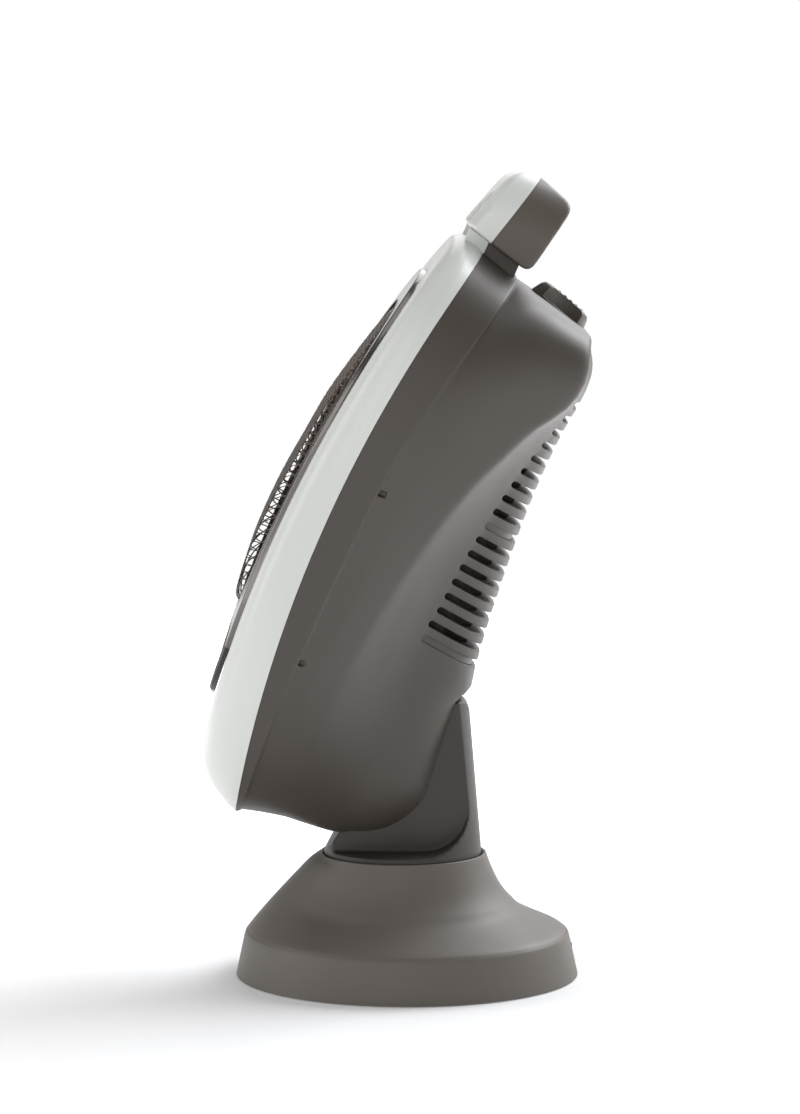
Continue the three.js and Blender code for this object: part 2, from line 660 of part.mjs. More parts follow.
function bezelForm() {
  return loft([
    ring({ ...seamRing, depth: (z) => seamDepth(z) - gap }),
    ring({ halfWidth: 149.6, low: -50.5, high: 365, depth: bezelSide }),
    ring({ halfWidth: 144, low: -38.5, high: 362.5, depth: bezelCorner }),
    ring({ halfWidth: 135, low: -18, high: 354, power: 2.9, depth: (z) => frontDepth(z) + 1.6 }),
    ring({ ...opening, depth: (z, x) => frontDepth(z) }),
  ]);
}

function frontBezel() {
  const outside = bezelForm();
  const hole = loft([
    ring({ ...opening, depth: (z) => frontDepth(z) - 10 }),
    ring({ ...opening, depth: (z) => frontDepth(z) + opening.ledgeDepth }),
  ]);
  const through = loft([
    ring({ ...opening, grow: -opening.ledge, depth: (z) => frontDepth(z) - 10 }),
    ring({ ...opening, grow: -opening.ledge, depth: (z) => frontDepth(z) + 20 }),
  ]);
  const inside = loft([
    ring({ ...seamRing, grow: -head.wall, depth: (z) => seamDepth(z) + 4 }),
    ring({ halfWidth: 149.6, low: -51.5, high: 365, grow: -head.wall, depth: (z) => bezelSide(z) + 2 }),
    ring({ halfWidth: 143, low: -36, high: 361, grow: -head.wall, depth: (z) => bezelCorner(z) + 3.5 }),
    ring({ halfWidth: 132, low: -12, high: 352, grow: -1, power: 2.9, depth: (z) => frontDepth(z) + opening.ledgeDepth + 2 }),
  ]);
  let shell = outside.subtract(inside).subtract(hole).subtract(through);
  for (const { x, z } of shellScrewSpots) {
    const boss = bar("y", shellScrew.boss - 0.5, -150, seamDepth(z) - gap - 0.2, [x, z], 6);
    shell = shell.add(boss.intersect(outside).subtract(behindSeam(-gap)));
    shell = shell.subtract(bar("y", shellScrew.shank + gap, seamDepth(z) - 14, -80, [x, z], 6));
  }
  return shell.add(handlePedestals(346, -104.5, handleSeamDepth(364) - gap).subtract(inside).subtract(behindSeam(-gap)));
}

function shellScrewSolid({ x, z }) {
  const seat = flangeLine(z) - 4 + gap;
  const shank = bar("y", shellScrew.shank, seamDepth(z) - 12, seat + 1, [x, z], 6);
  return shank.add(bar("y", shellScrew.headRadius, seat, seat + 2.2, [x, z], 8));
}

// ---------------------------------------------------------------- head: guard

function guardFrame() {
  const inner = { halfWidth: guard.meshHalfWidth, low: guard.meshLow, high: guard.meshHigh, power: guard.power };
  const outer = { ...opening, grow: -gap - 0.1 };
  const middle = {
    halfWidth: (inner.halfWidth + outer.halfWidth) / 2,
    low: (inner.low + outer.low) / 2,
    high: (inner.high + outer.high) / 2,
    power: 2.6,
  };
  const face = (offset) => (z, x) => frontDepth(z) - guard.proud - frameCrown(z, x) + offset;
  const rim = (offset) => (z) => frontDepth(z) + offset;
  return hoop([
    ring({ ...outer, depth: face(0.6) }),
    ring({ ...outer, grow: -2.2, depth: face(0) }),
    ring({ ...middle, depth: face(0) }),
    ring({ ...inner, depth: face(0) }),
    ring({ ...inner, depth: face(guard.sheet) }),
    ring({ ...middle, depth: face(guard.sheet) }),
    ring({ ...outer, grow: -gap - 0.1 - guard.sheet, depth: face(guard.sheet) }),
    ring({ ...outer, grow: -gap - 0.1 - guard.sheet, depth: rim(opening.ledgeDepth - gap) }),
    ring({ ...outer, depth: rim(opening.ledgeDepth - gap) }),
  ]);
}

// A sheet slit and drawn into diamonds, then bowed forward.
function guardMesh() {
  const [low, high] = [guard.meshLow - guard.overlap, guard.meshHigh + guard.overlap];
  const outline = { halfWidth: guard.meshHalfWidth + guard.overlap, low, high, power: guard.power };
  const edge = ring({ ...outline, depth: () => 0 });
  const sheet = new THREE.Shape(edge.map((p) => new THREE.Vector2(p.x, p.z)));
  const middle = (low + high) / 2;
  const inside = (x, z) => ovalReach(x / (outline.halfWidth - 3), (z - middle) / ((high - low) / 2 - 3), guard.power) < 1;
  const holeWide = guard.cellWidth / 2 - guard.strand * 1.35;
  const holeTall = guard.cellHeight / 2 - guard.strand * 0.8;
  for (let row = -20; row <= 20; row++) {
    for (let column = -12; column <= 12; column++) {
      if ((row + column) % 2) continue;
      const [x, z] = [(column * guard.cellWidth) / 2, middle + (row * guard.cellHeight) / 2];
      const corners = [[x + holeWide, z], [x, z + holeTall], [x - holeWide, z], [x, z - holeTall]];
      if (corners.every(([a, b]) => inside(a, b))) {
        sheet.holes.push(new THREE.Path(corners.map(([a, b]) => new THREE.Vector2(a, b))));
      }
    }
  }
  const geometry = new THREE.ExtrudeGeometry(sheet, { depth: guard.sheet, bevelEnabled: false });
  geometry.rotateX(Math.PI / 2); // the sheet now stands up, and its thickness runs along Y from -sheet to 0
  const position = geometry.attributes.position;
  for (let i = 0; i < position.count; i++) {
    const [x, z] = [position.getX(i), position.getZ(i)];
    const back = frontDepth(z) - guard.proud + 2 * guard.sheet + 3.5 * gap;
    position.setY(i, position.getY(i) + back - meshCrown(z, x));
  }
  return solidOf(geometry);
}

// ---------------------------------------------------------------- head: heating parts

// Half a trough in the top view, from the middle out, as [x, depth] points.
function troughPoints() {
  const half = reflector.lampOffset;
  const steps = 8;
  const points = [];
  for (let i = 0; i <= 2 * steps; i++) {
    const x = (half * i) / steps;
    points.push([x, reflector.apex - (x - half) ** 2 / (4 * reflector.focal)]);
  }
  points.push([reflector.lipHalf, -139]);
  return points;
}

function reflectorTrough() {
  const right = troughPoints();
  const front = [...right.slice(1).reverse().map(([x, y]) => [-x, y]), ...right];
  const back = front.map(([x, y]) => [x, y + reflector.sheet * (Math.abs(x) > 95 ? 1.5 : 1)]).reverse();
  const shape = new THREE.Shape([...front, ...back].map(([x, y]) => new THREE.Vector2(x, y)));
  const geometry = new THREE.ExtrudeGeometry(shape, { depth: reflector.high - reflector.low, bevelEnabled: false });
  const trough = solidOf(geometry.translate(0, 0, reflector.low));
  return trough.intersect(behindFront(opening.ledgeDepth + 2.4)).intersect(frontClearance());
}

// What fits through the opening's ledge, or lies behind it.
function frontClearance() {
  const within = loft([
    ring({ ...opening, grow: -opening.ledge - 0.4, depth: (z) => frontDepth(z) - 5 }),
    ring({ ...opening, grow: -opening.ledge - 0.4, depth: (z) => frontDepth(z) + 60 }),
  ]);
  return within.add(behindFront(opening.ledgeDepth + 2.4));
}

function reflectorEnd(z) {
  const [low, high] = [z, z + reflector.sheet];
  const right = troughPoints();
  const front = right.map(([x, y]) => [x, y + reflector.sheet]);
  const outline = [...front.slice(1).reverse().map(([x, y]) => [-x, y]), ...front];
  const shape = new THREE.Shape([...outline, [reflector.lipHalf, -150], [-reflector.lipHalf, -150]].map(([x, y]) => new THREE.Vector2(x, y)));
  const plateSolid = solidOf(new THREE.ExtrudeGeometry(shape, { depth: high - low, bevelEnabled: false }).translate(0, 0, low));
  const holes = [-1, 1].map((side) =>
    bar("z", lamp.capRadius + gap, low - 5, high + 5, [side * reflector.lampOffset, lampDepth], 16),
  );
  return plateSolid.intersect(behindFront(opening.ledgeDepth + 2.4)).subtract(unionOf(holes));
}

const lampDepth = reflector.apex - reflector.focal;

function lampTube(side) {
  return bar("z", lamp.radius, lamp.low, lamp.high, [side * reflector.lampOffset, lampDepth], 16);
}

// A ceramic cap at a lamp's end. It is blind, and the tube stands in it.
function lampCap(side, end) {
  const at = [side * reflector.lampOffset, lampDepth];
  const mouth = end < 0 ? lamp.low + 6 : lamp.high - 6;
  const far = mouth + end * lamp.capLength;
  const [a, b] = [mouth, far].sort((p, q) => p - q);
  const [c, d] = [mouth - end, (end < 0 ? lamp.low : lamp.high) + end * gap].sort((p, q) => p - q);
  return bar("z", lamp.capRadius, a, b, at, 16).subtract(bar("z", lamp.radius + gap, c, d, at, 16));
}

// A sheet behind the troughs, with a channel that keeps their heat from the slots.
function heatShield() {
  const front = reflector.apex + reflector.sheet + 0.4;
  const sheet = block([-78, 78], [front, front + 1], [60, 285]);
  const { halfWidth, back, low, high } = channel;
  const outside = block([-halfWidth, halfWidth], [front + 0.5, back], [low, high]);
  const hollow = block([1 - halfWidth, halfWidth - 1], [front + 1, back - 1], [low - 1, high + 1]);
  return sheet.add(outside.subtract(hollow));
}

// ---------------------------------------------------------------- head: handle

// The line between the handle's white front and its grey back, as a depth at a height.
const handleSeamDepth = (z) => THREE.MathUtils.mapLinear(z, 368, 422, -88, -74);

function handleArch() {
  const outer = new THREE.Shape();
  const { halfWidth, top, foot, corner, gripHalf, gripTop } = handle;
  outer.moveTo(-halfWidth, foot - 10);
  outer.lineTo(-halfWidth, top - corner);
  outer.quadraticCurveTo(-halfWidth + 3, top, -halfWidth + corner + 8, top);
  outer.lineTo(halfWidth - corner - 8, top);
  outer.quadraticCurveTo(halfWidth - 3, top, halfWidth, top - corner);
  outer.lineTo(halfWidth, foot - 10);
  outer.lineTo(gripHalf, foot - 10);
  outer.lineTo(gripHalf, gripTop - 14);
  outer.quadraticCurveTo(gripHalf, gripTop, gripHalf - 16, gripTop);
  outer.lineTo(-gripHalf + 16, gripTop);
  outer.quadraticCurveTo(-gripHalf, gripTop, -gripHalf, gripTop - 14);
  outer.lineTo(-gripHalf, foot - 10);
  return frontways(outer, -140, -20, 6);
}

function handleSide() {
  const shape = new THREE.Shape();
  shape.moveTo(-108, 372.5);
  shape.lineTo(-98, 404);
  shape.quadraticCurveTo(-93, 420.7, -81, 421);
  shape.quadraticCurveTo(-76, 421.2, -71, 419.5);
  shape.lineTo(-53.5, 414);
  shape.quadraticCurveTo(-47, 411.6, -47.4, 405);
  shape.lineTo(-54, 369);
  shape.quadraticCurveTo(-55.5, 361.6, -62, 361.3);
  return sideways(shape, -120, 120, 5);
}

// The half-space in front of the handle's seam (or behind it), as a thick slab.
function handleHalf(front) {
  const shift = front ? -gap / 2 : gap / 2;
  const [low, high] = [330, 440];
  const far = front ? -160 : 10;
  return sideways([[handleSeamDepth(low) + shift, low], [handleSeamDepth(high) + shift, high], [far, high], [far, low]], -120, 120);
}

const handleScrewX = (handle.halfWidth + handle.gripHalf) / 2;

function handlePiece(front) {
  const legs = handleArch().intersect(handleSide()).intersect(handleHalf(front));
  const holes = [-1, 1].map((side) => {
    const at = [side * handleScrewX, handle.screwHeight];
    const shank = bar("y", 1.6 + gap, -96, -40, at, 10);
    return front ? shank : shank.add(bar("y", 3.4 + gap, -62, -30, at, 12));
  });
  return legs.subtract(unionOf(holes));
}

function handleScrew(side) {
  const at = [side * handleScrewX, handle.screwHeight];
  return bar("y", 1.6, -94, -60, at, 10).add(bar("y", 3.4, -62 + gap, -59.5, at, 12));
}

// ---------------------------------------------------------------- head: controls

function selectorKnob() {
  const { radius, topRadius, tall, gripHalf, scoopRadius, scoopFloor } = knob;
  const drum = turned([[0, 0.8], [radius, 0.8], [radius - 0.3, 3], [topRadius + 0.4, tall - 3.4], [topRadius - 1.4, tall - 1],
    [topRadius - 4.5, tall], [0, tall]], 28);
  const scoops = [-1, 1].map((side) =>
    bar("z", scoopRadius, scoopFloor, tall + 5, [side * (gripHalf + scoopRadius), 0], 28, scoopRadius + 1.5),
  );
  let body = drum.subtract(unionOf(scoops));
  for (let i = 0; i < knob.ridges; i++) {
    const y = (i - 1.4) * knob.ridgePitch;
    body = body.add(bar("x", 1.3, -gripHalf + 0.6, gripHalf - 0.6, [y, tall - 0.5], 8));
  }
  const socket = bar("z", knob.shaftRadius + gap, 0, 9, [0, 0], 16);
  return body.subtract(socket);
}

function selectorShaft() {
  return bar("z", knob.shaftRadius, -6.5, 8.5, [0, 0], 16);
}

function selectorSwitch() {
  const top = -head.wall - 3;
  const body = block([-13, 13], [-12, 10], [top - 22, top]);
  const tags = [-8, 0, 8].map((x) => block([x - 2.4, x + 2.4], [-0.5, 0.5], [top - 30, top - 21]));
  return body.add(unionOf(tags)).subtract(bar("z", knob.shaftRadius + gap, -7, 5, [0, 0], 16));
}

function tipOverSwitch() {
  const floor = pocket.roof + pocket.wall + gap;
  return block([-32, -10], [-14, 4], [floor, floor + 22]).add(bar("z", 2.5, floor + 20, floor + 25, [-21, -5], 10));
}

function terminalBlock() {
  const floor = pocket.roof + pocket.wall + gap;
  const body = block([-6, 33], [-14, 2], [floor, floor + 11]);
  const towers = [0, 1, 2].map((i) => bar("z", 4.6, floor + 10, floor + 15, [1 + 13 * i, -6], 12));
  return body.add(unionOf(towers)).subtract(unionOf([0, 1, 2].map((i) => bar("z", 2, floor + 6, floor + 20, [1 + 13 * i, -6], 10))));
}

function tiltShaft() {
  return bar("x", tilt.shaftRadius, -tilt.shaftHalf, tilt.shaftHalf, [0, 0], 16);
}

// ---------------------------------------------------------------- assembly

const heater = new THREE.Group();
const headGroup = new THREE.Group();
headGroup.position.set(0, tilt.y, tilt.z);
headGroup.rotation.x = -radians(tilt.lean);
const controls = new THREE.Group();
knobMatrix().decompose(controls.position, controls.quaternion, controls.scale);
headGroup.add(controls);
heater.add(headGroup);

function place(group, name, solid, look) {
  const mesh = new THREE.Mesh(geometryOf(solid), look);
  mesh.name = name;
  group.add(mesh);
}

const sides = [["left", -1], ["right", 1]];

place(heater, "base_cover", baseCover(), taupe);
place(heater, "base_plate", basePlate(), blackPlastic);
place(heater, "counterweight", counterweight(), castIron);
place(heater, "cord_bush", cordBushing(), blackPlastic);
for (let i = 0; i < 4; i++) {
  place(heater, `rubber_pad_${i + 1}`, rubberPad(i), rubber);
  place(heater, `base_screw_${i + 1}`, plateScrew(i), steel);
}
place(heater, "oscillation_motor", oscillationMotor(), steel);
place(heater, "oscillation_crank", crankDisc(), nylon);

place(heater, "neck", neckBody(), taupe);
place(heater, "neck_retainer", neckRetainer(), blackPlastic);
place(heater, "swivel_bearing", swivelBearing(), nylon);
for (let i = 0; i < 3; i++) place(heater, `retainer_screw_${i + 1}`, retainerScrew(i), steel);
for (const [name, side] of sides) place(heater, `friction_washer_${name}`, frictionWasher(side), nylon);

place(headGroup, "rear_shell", rearShell(), taupe);
place(headGroup, "front_bezel", frontBezel(), white);
place(headGroup, "guard_frame", guardFrame(), chrome);
place(headGroup, "guard_mesh", guardMesh(), steel);
place(headGroup, "reflector", reflectorTrough(), aluminium);
place(headGroup, "reflector_end_lower", reflectorEnd(reflector.low - gap - reflector.sheet), aluminium);
place(headGroup, "reflector_end_upper", reflectorEnd(reflector.high + gap), aluminium);
place(headGroup, "heat_shield", heatShield(), steel);
for (const [name, side] of sides) {
  place(headGroup, `halogen_tube_${name}`, lampTube(side), quartz);
  place(headGroup, `lamp_cap_${name}_lower`, lampCap(side, -1), ceramic);
  place(headGroup, `lamp_cap_${name}_upper`, lampCap(side, 1), ceramic);
  place(headGroup, `handle_screw_${name}`, handleScrew(side), steel);
}
shellScrewSpots.forEach((spot, i) => place(headGroup, `shell_screw_${i + 1}`, shellScrewSolid(spot), steel));
place(headGroup, "handle_front", handlePiece(true), white);
place(headGroup, "handle_rear", handlePiece(false), taupe);
place(headGroup, "tilt_shaft", tiltShaft(), steel);
place(headGroup, "tip_over_switch", tipOverSwitch(), blackPlastic);
place(headGroup, "terminal_block", terminalBlock(), ceramic);
place(controls, "selector_switch", selectorSwitch(), blackPlastic);
place(controls, "selector_shaft", selectorShaft(), brass);
place(controls, "selector_knob", selectorKnob(), taupe);

export default heater;
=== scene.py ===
import json
import math
import bmesh
import bpy
import numpy as np
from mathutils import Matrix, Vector
from mathutils.geometry import delaunay_2d_cdt


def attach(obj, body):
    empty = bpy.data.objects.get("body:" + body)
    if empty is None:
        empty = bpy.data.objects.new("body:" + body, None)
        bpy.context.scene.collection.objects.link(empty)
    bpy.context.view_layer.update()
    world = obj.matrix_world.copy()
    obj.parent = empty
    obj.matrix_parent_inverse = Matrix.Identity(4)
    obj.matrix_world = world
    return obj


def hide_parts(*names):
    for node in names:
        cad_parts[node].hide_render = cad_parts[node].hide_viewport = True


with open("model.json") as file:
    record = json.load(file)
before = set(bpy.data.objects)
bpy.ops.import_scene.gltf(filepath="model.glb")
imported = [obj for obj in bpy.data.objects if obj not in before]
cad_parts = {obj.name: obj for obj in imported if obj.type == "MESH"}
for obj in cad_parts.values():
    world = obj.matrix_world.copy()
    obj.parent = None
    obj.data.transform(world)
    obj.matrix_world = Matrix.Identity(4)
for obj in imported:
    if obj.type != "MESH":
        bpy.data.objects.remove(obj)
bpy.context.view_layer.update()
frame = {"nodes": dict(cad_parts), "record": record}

print("stage: frame loaded")

# Sizes are millimetres in the head's or the base's own frame. A mesh is made metres when it is built.
mm = 0.001
tilt = {"y": -14.0, "z": 130.5, "lean": 24.0}
panel = {"half": (77.0, 23.5), "dark": (112.0, 25.5), "middle": 41.0, "bead": 0.9, "power": 2.4}
view = {"from": (3.0, -0.0048, 0.6), "at": (0.0, -0.0048, 0.287), "lens": 143.3, "near": 0.05}
# each lamp's place, size, watts and colour
studio = {
    "key": ((-1.5, 1.9, 2.0), (2.0, 2.0), 98, (0.94, 0.96, 1.0)),
    "fill": ((2.7, -1.0, 1.6), (1.4, 1.4), 9, (1.0, 0.985, 0.96)),
    "front": ((0.2, -2.2, 1.2), (1.2, 1.6), 15, (1.0, 1.0, 1.0)),
    "top": ((0.2, 0.2, 2.5), (1.8, 1.8), 9, (1.0, 1.0, 1.0)),
    "far": ((-2.0, 0.4, 1.4), (1.4, 1.4), 10, (1.0, 1.0, 1.0)),
}
lampAim = (0, 0, 0.27)
axisOrder = {"x": (2, 0, 1), "y": (0, 2, 1), "z": (0, 1, 2)}


def lookAt(thing, target):
    turn = (Vector(target) - thing.location).to_track_quat("-Z", "Y")
    thing.rotation_euler = turn.to_euler()


def putCamera():
    camera = bpy.data.objects.new("camera", bpy.data.cameras.new("camera"))
    bpy.context.collection.objects.link(camera)
    camera.location = view["from"]
    lookAt(camera, view["at"])
    camera.data.lens = view["lens"]
    camera.data.clip_start = view["near"]
    bpy.context.scene.camera = camera


def putLights():
    for name, (place, size, watts, colour) in studio.items():
        lamp = bpy.data.lights.new(name, "AREA")
        lamp.shape = "RECTANGLE"
        lamp.size, lamp.size_y = size
        lamp.energy = watts
        lamp.color = colour
        holder = bpy.data.objects.new(name + "Light", lamp)
        bpy.context.collection.objects.link(holder)
        holder.location = place
        lookAt(holder, lampAim)


putCamera()
putLights()


class Wire:
    # a value on an output socket, with arithmetic that adds Math nodes
    def __init__(self, sheet, socket):
        self.sheet = sheet
        self.socket = socket

    def maths(self, operation, *others):
        return self.sheet.maths(operation, self, *others)

    def __add__(self, other):
        return self.maths("ADD", other)

    def __sub__(self, other):
        return self.maths("SUBTRACT", other)

    def __rsub__(self, other):
        return self.sheet.maths("SUBTRACT", other, self)

    def __mul__(self, other):
        return self.maths("MULTIPLY", other)

    def __truediv__(self, other):
        return self.maths("DIVIDE", other)

    def __pow__(self, other):
        return self.maths("POWER", other)

    __radd__ = __add__
    __rmul__ = __mul__


class Sheet:
    # a node tree that is filled by one method
    def __init__(self, tree):
        self.tree = tree

    def add(self, kind, values=None, out=0, **settings):
        node = self.tree.nodes.new(kind)
        for name, value in settings.items():
            if name == "stops":
                stops = node.color_ramp.elements
                while len(stops) < len(value):
                    stops.new(0.5)
                for stop, (place, colour) in zip(stops, value):
                    stop.position = place
                    stop.color = (*colour, 1)
            else:
                setattr(node, name, value)
        for name, value in (values or {}).items():
            socket = node.inputs[name]
            if isinstance(value, Wire):
                self.tree.links.new(value.socket, socket)
            elif value is not None:
                socket.default_value = (*value, 1) if socket.type == "RGBA" else value
        return Wire(self, node.outputs[out])

    def take(self, wire, out):
        return Wire(self, wire.socket.node.outputs[out])

    def maths(self, operation, *values):
        return self.add("ShaderNodeMath", dict(enumerate(values)), operation=operation)

    def ramp(self, wire, *stops):
        return self.add("ShaderNodeValToRGB", {"Fac": wire}, stops=stops)

    def vector(self, x=0.0, y=0.0, z=0.0):
        return self.add("ShaderNodeCombineXYZ", {0: x, 1: y, 2: z})

    def axes(self, source):
        # the three coordinates of a vector
        split = self.add("ShaderNodeSeparateXYZ", {0: source})
        return [self.take(split, k) for k in range(3)]


def linear(r, g, b):
    turn = lambda c: ((c / 255 + 0.055) / 1.055) ** 2.4 if c > 10 else c / 255 / 12.92
    return (turn(r), turn(g), turn(b))


class Finish(Sheet):
    # a material: object coordinates, patterns, and the shader at the end
    def __init__(self, name):
        self.material = bpy.data.materials.new(name)
        self.material.use_nodes = True
        super().__init__(self.material.node_tree)
        self.tree.nodes.clear()
        self.place = self.add("ShaderNodeTexCoord", out="Object")

    def noise(self, scale, detail=3.0, stretch=(1, 1, 1), rough=0.55):
        where = self.place
        if stretch != (1, 1, 1):
            where = self.add("ShaderNodeMapping", {"Vector": where, "Scale": stretch})
        values = {"Vector": where, "Scale": scale, "Detail": detail, "Roughness": rough}
        return self.add("ShaderNodeTexNoise", values)

    def cells(self, scale):
        return self.add("ShaderNodeTexVoronoi", {"Vector": self.place, "Scale": scale}, "Distance")

    def blend(self, share, a, b):
        return self.add("ShaderNodeMix", {0: share, 6: a, 7: b}, 2, data_type="RGBA")

    def bump(self, wire, distance, strength, under=None):
        values = {"Height": wire, "Distance": distance, "Strength": strength, "Normal": under}
        return self.add("ShaderNodeBump", values)

    def finish(self, **values):
        sockets = {name.replace("_", " "): value for name, value in values.items()}
        shader = self.add("ShaderNodeBsdfPrincipled", sockets)
        self.tree.links.new(shader.socket, self.tree.nodes.new("ShaderNodeOutputMaterial").inputs[0])
        return self.material


# each plastic's material, colour, roughness, depth of grain in metres and share of dust
plastics = {
    # painted light: a lighter copy of the taupe plastic, for the top-lit handle rear and knob
    "trim": ("trimPlastic", linear(84, 77, 70), 0.45, 0.000035, 0.05),
    # painted shade: a darker copy of the taupe plastic, for the neck
    "neck": ("neckPlastic", linear(56, 51, 46), 0.52, 0.000035, 0.05),
    # painted light: a lighter copy of the taupe plastic, for the upward-facing base cover
    "base": ("basePlastic", linear(101, 95, 88), 0.52, 0.000035, 0.05),
    "taupe": ("taupePlastic", linear(66, 60, 54), 0.47, 0.000035, 0.05),
    "white": ("whiteShell", linear(208, 210, 206), 0.34, 0.000012, 0.02),
    "black": ("blackPlastic", linear(38, 38, 38), 0.5, 0.00003, 0.12),
    "nylon": ("naturalNylon", linear(228, 222, 206), 0.45, 0.00002, 0.04),
}
plate = {"colour": linear(128, 124, 121), "rough": 0.2, "dark": (linear(40, 38, 37), linear(48, 46, 44))}


def mouldedPlastic(name, colour, rough, grain, dust):
    f = Finish(name)
    cloud = f.noise(9, 4)
    fine = f.noise(1900, 2, rough=0.6)
    lighter = tuple(min(1, c * (1 + dust) + dust * 0.01) for c in colour)
    darker = tuple(c * (1 - dust) for c in colour)
    base = f.blend(f.ramp(cloud, (0.3, (0, 0, 0)), (0.72, (1, 1, 1))), darker, lighter)
    speck = f.ramp(f.noise(620, 2), (0.35, darker), (0.65, lighter))
    skin = f.blend(0.25, base, speck)
    smear = f.noise(26, 5, stretch=(1, 1, 0.5))
    shine = rough + (smear - 0.5) * 0.16 + (fine - 0.5) * 0.06
    normal = f.bump(fine, grain, 0.6, f.bump(cloud, 0.00012, 0.25))
    return f.finish(Base_Color=skin, Roughness=shine, Normal=normal, IOR=1.5)


def metal(name, colour, rough, brushed=(1, 1, 1), scale=400, tint=None, dents=0.0):
    f = Finish(name)
    lines = f.noise(scale, 4, brushed)
    film = f.noise(14, 5)
    dull = tuple(c * 0.72 for c in colour)
    skin = f.blend(f.ramp(film, (0.35, (0, 0, 0)), (0.75, (0.8, 0.8, 0.8))), colour, tint or dull)
    shine = rough + (lines - 0.5) * 0.14 + (film - 0.5) * 0.12
    normal = f.bump(lines, 0.00003, 0.5)
    if dents:
        normal = f.bump(f.cells(150), dents, 0.7, normal)
    return f.finish(Base_Color=skin, Metallic=1.0, Roughness=shine, Normal=normal)


def castIronPaint():
    f = Finish("castIronPaint")
    lumps = f.noise(260, 5)
    rust = f.ramp(f.noise(40, 5), (0.55, linear(52, 52, 52)), (0.78, linear(74, 60, 50)))
    return f.finish(Base_Color=rust, Metallic=0.3, Roughness=0.7 + lumps * 0.2, Normal=f.bump(lumps, 0.0004, 0.8))


def softRubber():
    f = Finish("softRubber")
    dustShare = f.ramp(f.noise(70, 5), (0.45, linear(24, 24, 24)), (0.8, linear(52, 50, 48)))
    grain = f.noise(1500, 2)
    return f.finish(Base_Color=dustShare, Roughness=0.78 + grain * 0.15, Normal=f.bump(grain, 0.00008, 0.7))


def chalkyCeramic():
    f = Finish("chalkyCeramic")
    pores = f.cells(900)
    stain = f.ramp(f.noise(90, 5), (0.4, linear(236, 231, 219)), (0.85, linear(214, 205, 186)))
    return f.finish(Base_Color=stain, Roughness=0.62 + pores * 0.4, Normal=f.bump(pores, 0.00006, 0.8))


def clearQuartz():
    f = Finish("clearQuartz")
    haze = f.noise(60, 4, (1, 1, 0.1))
    tint = f.ramp(haze, (0.3, linear(238, 240, 242)), (0.8, linear(250, 248, 243)))
    return f.finish(Base_Color=tint, Roughness=0.03 + haze * 0.08, Transmission_Weight=0.92, IOR=1.46)


def twoTonePlate():
    # brushed steel, with the dished oval below the mesh coloured dark, duller and not metal
    f = Finish("twoTonePlate")
    x, y, z = f.axes(f.place)
    lean = math.radians(tilt["lean"])
    height = (y - tilt["y"] * mm) * math.sin(lean) + (z - tilt["z"] * mm) * math.cos(lean)
    across = x.maths("ABSOLUTE") / (panel["dark"][0] * mm)
    up = (height - panel["middle"] * mm).maths("ABSOLUTE") / (panel["dark"][1] * mm)
    reach = (across ** panel["power"] + up ** panel["power"]) * 0.5
    dark = f.ramp(reach, (0.43, (1, 1, 1)), (0.45, (0, 0, 0)))
    lines = f.noise(60, 4, (8, 1, 1))
    film = f.noise(14, 5)
    steel = f.blend(film, plate["colour"], tuple(c * 0.7 for c in plate["colour"]))
    skin = f.blend(dark, steel, f.ramp(film, (0.3, plate["dark"][0]), (0.7, plate["dark"][1])))
    shine = plate["rough"] + (lines - 0.5) * 0.14 + (film - 0.5) * 0.12 + dark * 0.34
    return f.finish(Base_Color=skin, Metallic=1.0 - dark, Roughness=shine, Normal=f.bump(lines, 0.00003, 0.5))


finishes = {key: mouldedPlastic(*spec) for key, spec in plastics.items()}
finishes.update({
    "steel": metal("plainSteel", linear(168, 165, 162), 0.3, (1, 1, 6), 300),
    "mesh": metal("heatTintedMesh", linear(88, 82, 77), 0.42, tint=linear(104, 86, 72)),
    "plate": twoTonePlate(),
    "mirror": metal("brightReflector", linear(232, 232, 233), 0.13, (1, 1, 0.05), 500, dents=0.00012),
    "iron": castIronPaint(),
    "rubber": softRubber(),
    "ceramic": chalkyCeramic(),
    "quartz": clearQuartz(),
    "brass": metal("plainBrass", linear(190, 158, 96), 0.3, (1, 1, 5), 300, tint=linear(140, 112, 70)),
    # dark steel for the shell screws, also put on the heat shield as painted shade
    "darkSteelAndShieldShade": metal("darkScrew", linear(58, 56, 54), 0.4),
    "filament": metal("tungstenCoil", linear(110, 108, 106), 0.45),
})
print("stage: finishes made")


def headPlace(points):
    p = np.asarray(points, float)
    c, s = math.cos(math.radians(tilt["lean"])), math.sin(math.radians(tilt["lean"]))
    return np.stack([p[:, 0], tilt["y"] + p[:, 1] * c + p[:, 2] * s, tilt["z"] - p[:, 1] * s + p[:, 2] * c], 1)


def meshObject(name, points, faces, place=None, smooth=35):
    points = place(points) if place else np.asarray(points, float)
    mesh = bpy.data.meshes.new(name)
    mesh.from_pydata((points * mm).tolist(), [], [list(map(int, f)) for f in faces])
    mesh.validate()
    thing = bpy.data.objects.new(name, mesh)
    bpy.context.collection.objects.link(thing)
    shade(thing, smooth)
    return thing


def edited(thing, change):
    # opens the mesh for one change
    bm = bmesh.new()
    bm.from_mesh(thing.data)
    change(bm)
    bm.to_mesh(thing.data)
    bm.free()
    return thing


def shade(thing, angle=35):
    thing.data.polygons.foreach_set("use_smooth", [True] * len(thing.data.polygons))
    limit = math.radians(angle)

    def mark(bm):
        for edge in bm.edges:
            edge.smooth = edge.is_manifold and edge.calc_face_angle(0) < limit

    return edited(thing, mark)


def pointsOf(thing):
    co = np.zeros(len(thing.data.vertices) * 3)
    thing.data.vertices.foreach_get("co", co)
    return co.reshape(-1, 3)


def setPoints(thing, co):
    thing.data.vertices.foreach_set("co", co.ravel())
    thing.data.update()
    return thing


def moved(thing, place):
    return setPoints(thing, place(pointsOf(thing) / mm) * mm)


